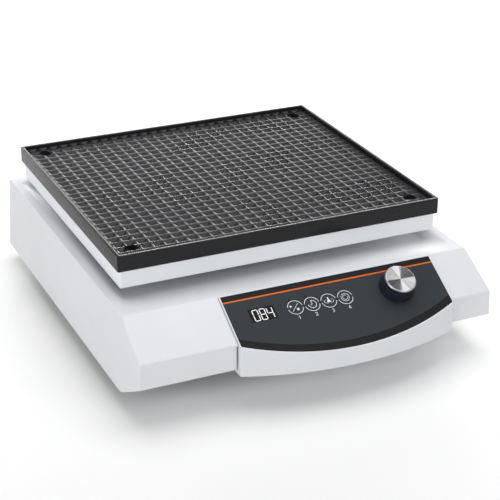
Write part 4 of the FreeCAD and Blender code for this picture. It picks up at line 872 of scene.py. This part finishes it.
def rocker_marks(mat):
    """A bar and a circle, the plain on and off signs."""
    pivot = Vector(JOINTS["rocker_tilt"]["pos_m"])
    for name, sign, tilt in (("rocker_on_mark", 1, ROCKER_BEND), ("rocker_off_mark", -1, 0.0)):
        ink = Ink()
        if sign > 0:
            ink.stroke((0, -BAR_HALF), (0, BAR_HALF), MARK_LINE)
        else:
            ink.arc((0, 0), CIRCLE, MARK_LINE, 0.0, FULL_CIRCLE)
        lean = math.radians(tilt)
        out = Vector((0, math.cos(lean), -math.sin(lean)))
        up = Vector((0, math.sin(lean), math.cos(lean)))
        turn = Matrix((up.cross(out), up, out)).transposed().to_4x4()
        obj = mesh_object(name, ink.verts, ink.faces, mat)
        place = pivot + Vector((0, MARK_OUT, 0)) + up * sign * MARK_UP
        obj.matrix_world = Matrix.Translation(place) @ turn
        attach(obj, "rocker")


# ------------------------------------------------------------------ make everything
def dress_nodes():
    """Give every CAD node that stays its finish."""
    finishes = simple_materials()
    film = film_material()
    finishes["panel_film"] = film
    finishes["key_film"] = film
    finishes["knob_metal"] = brushed("knob_metal", (0.72, 0.72, 0.73), 0.3, ALONG_Z)
    for part in frame["record"]["subparts"]:
        node = NODES[part["node"]]
        finish = finishes[part["material_slot"]]
        if not node.material_slots:
            node.data.materials.append(finish)
        for socket in node.material_slots:
            socket.material = finish


SHELLS = ("housing_cover", "console_bezel", "platform_tray")
SHELL_EDGE = 0.4 * MM
SHELL_SHARP = math.radians(35)


def soften(name):
    """A small bevel on a CAD shell's sharp edges."""
    modifier = NODES[name].modifiers.new("edge", "BEVEL")
    modifier.width = SHELL_EDGE
    modifier.segments = 2
    modifier.limit_method = "ANGLE"
    modifier.angle_limit = SHELL_SHARP


FLOOR_HALF = 6.0


def make_floor():
    corners = [(x * FLOOR_HALF, y * FLOOR_HALF, 0) for x, y in ((-1, -1), (1, -1), (1, 1), (-1, 1))]
    mat = grained("floor", (0.95, 0.95, 0.95), 0.6, 200.0, 0.00001, tone=0.004)
    floor = mesh_object("floor", corners, [[0, 1, 2, 3]], mat)


GLOW_STRENGTH = 0.35


def glow_material():
    """The display's lit figures."""
    mat, _, shader = material("display_glow", PRINT_WHITE, 0.4)
    shader.inputs["Emission Color"].default_value = (1.0, 1.0, 1.0, 1.0)
    shader.inputs["Emission Strength"].default_value = GLOW_STRENGTH
    return mat


def main():
    make_camera()
    make_light()
    make_floor()
    dress_nodes()
    for name in SHELLS:
        soften(name)
    ink_mat = grained("white_ink", PRINT_WHITE, 0.5, 2000.0, 0.000005, tone=0.02)
    print_keys(ink_mat)
    print_display(glow_material())
    knob_cap(cap_material())
    waffle_mat(rubber_material())
    rocker_marks(ink_mat)


main()
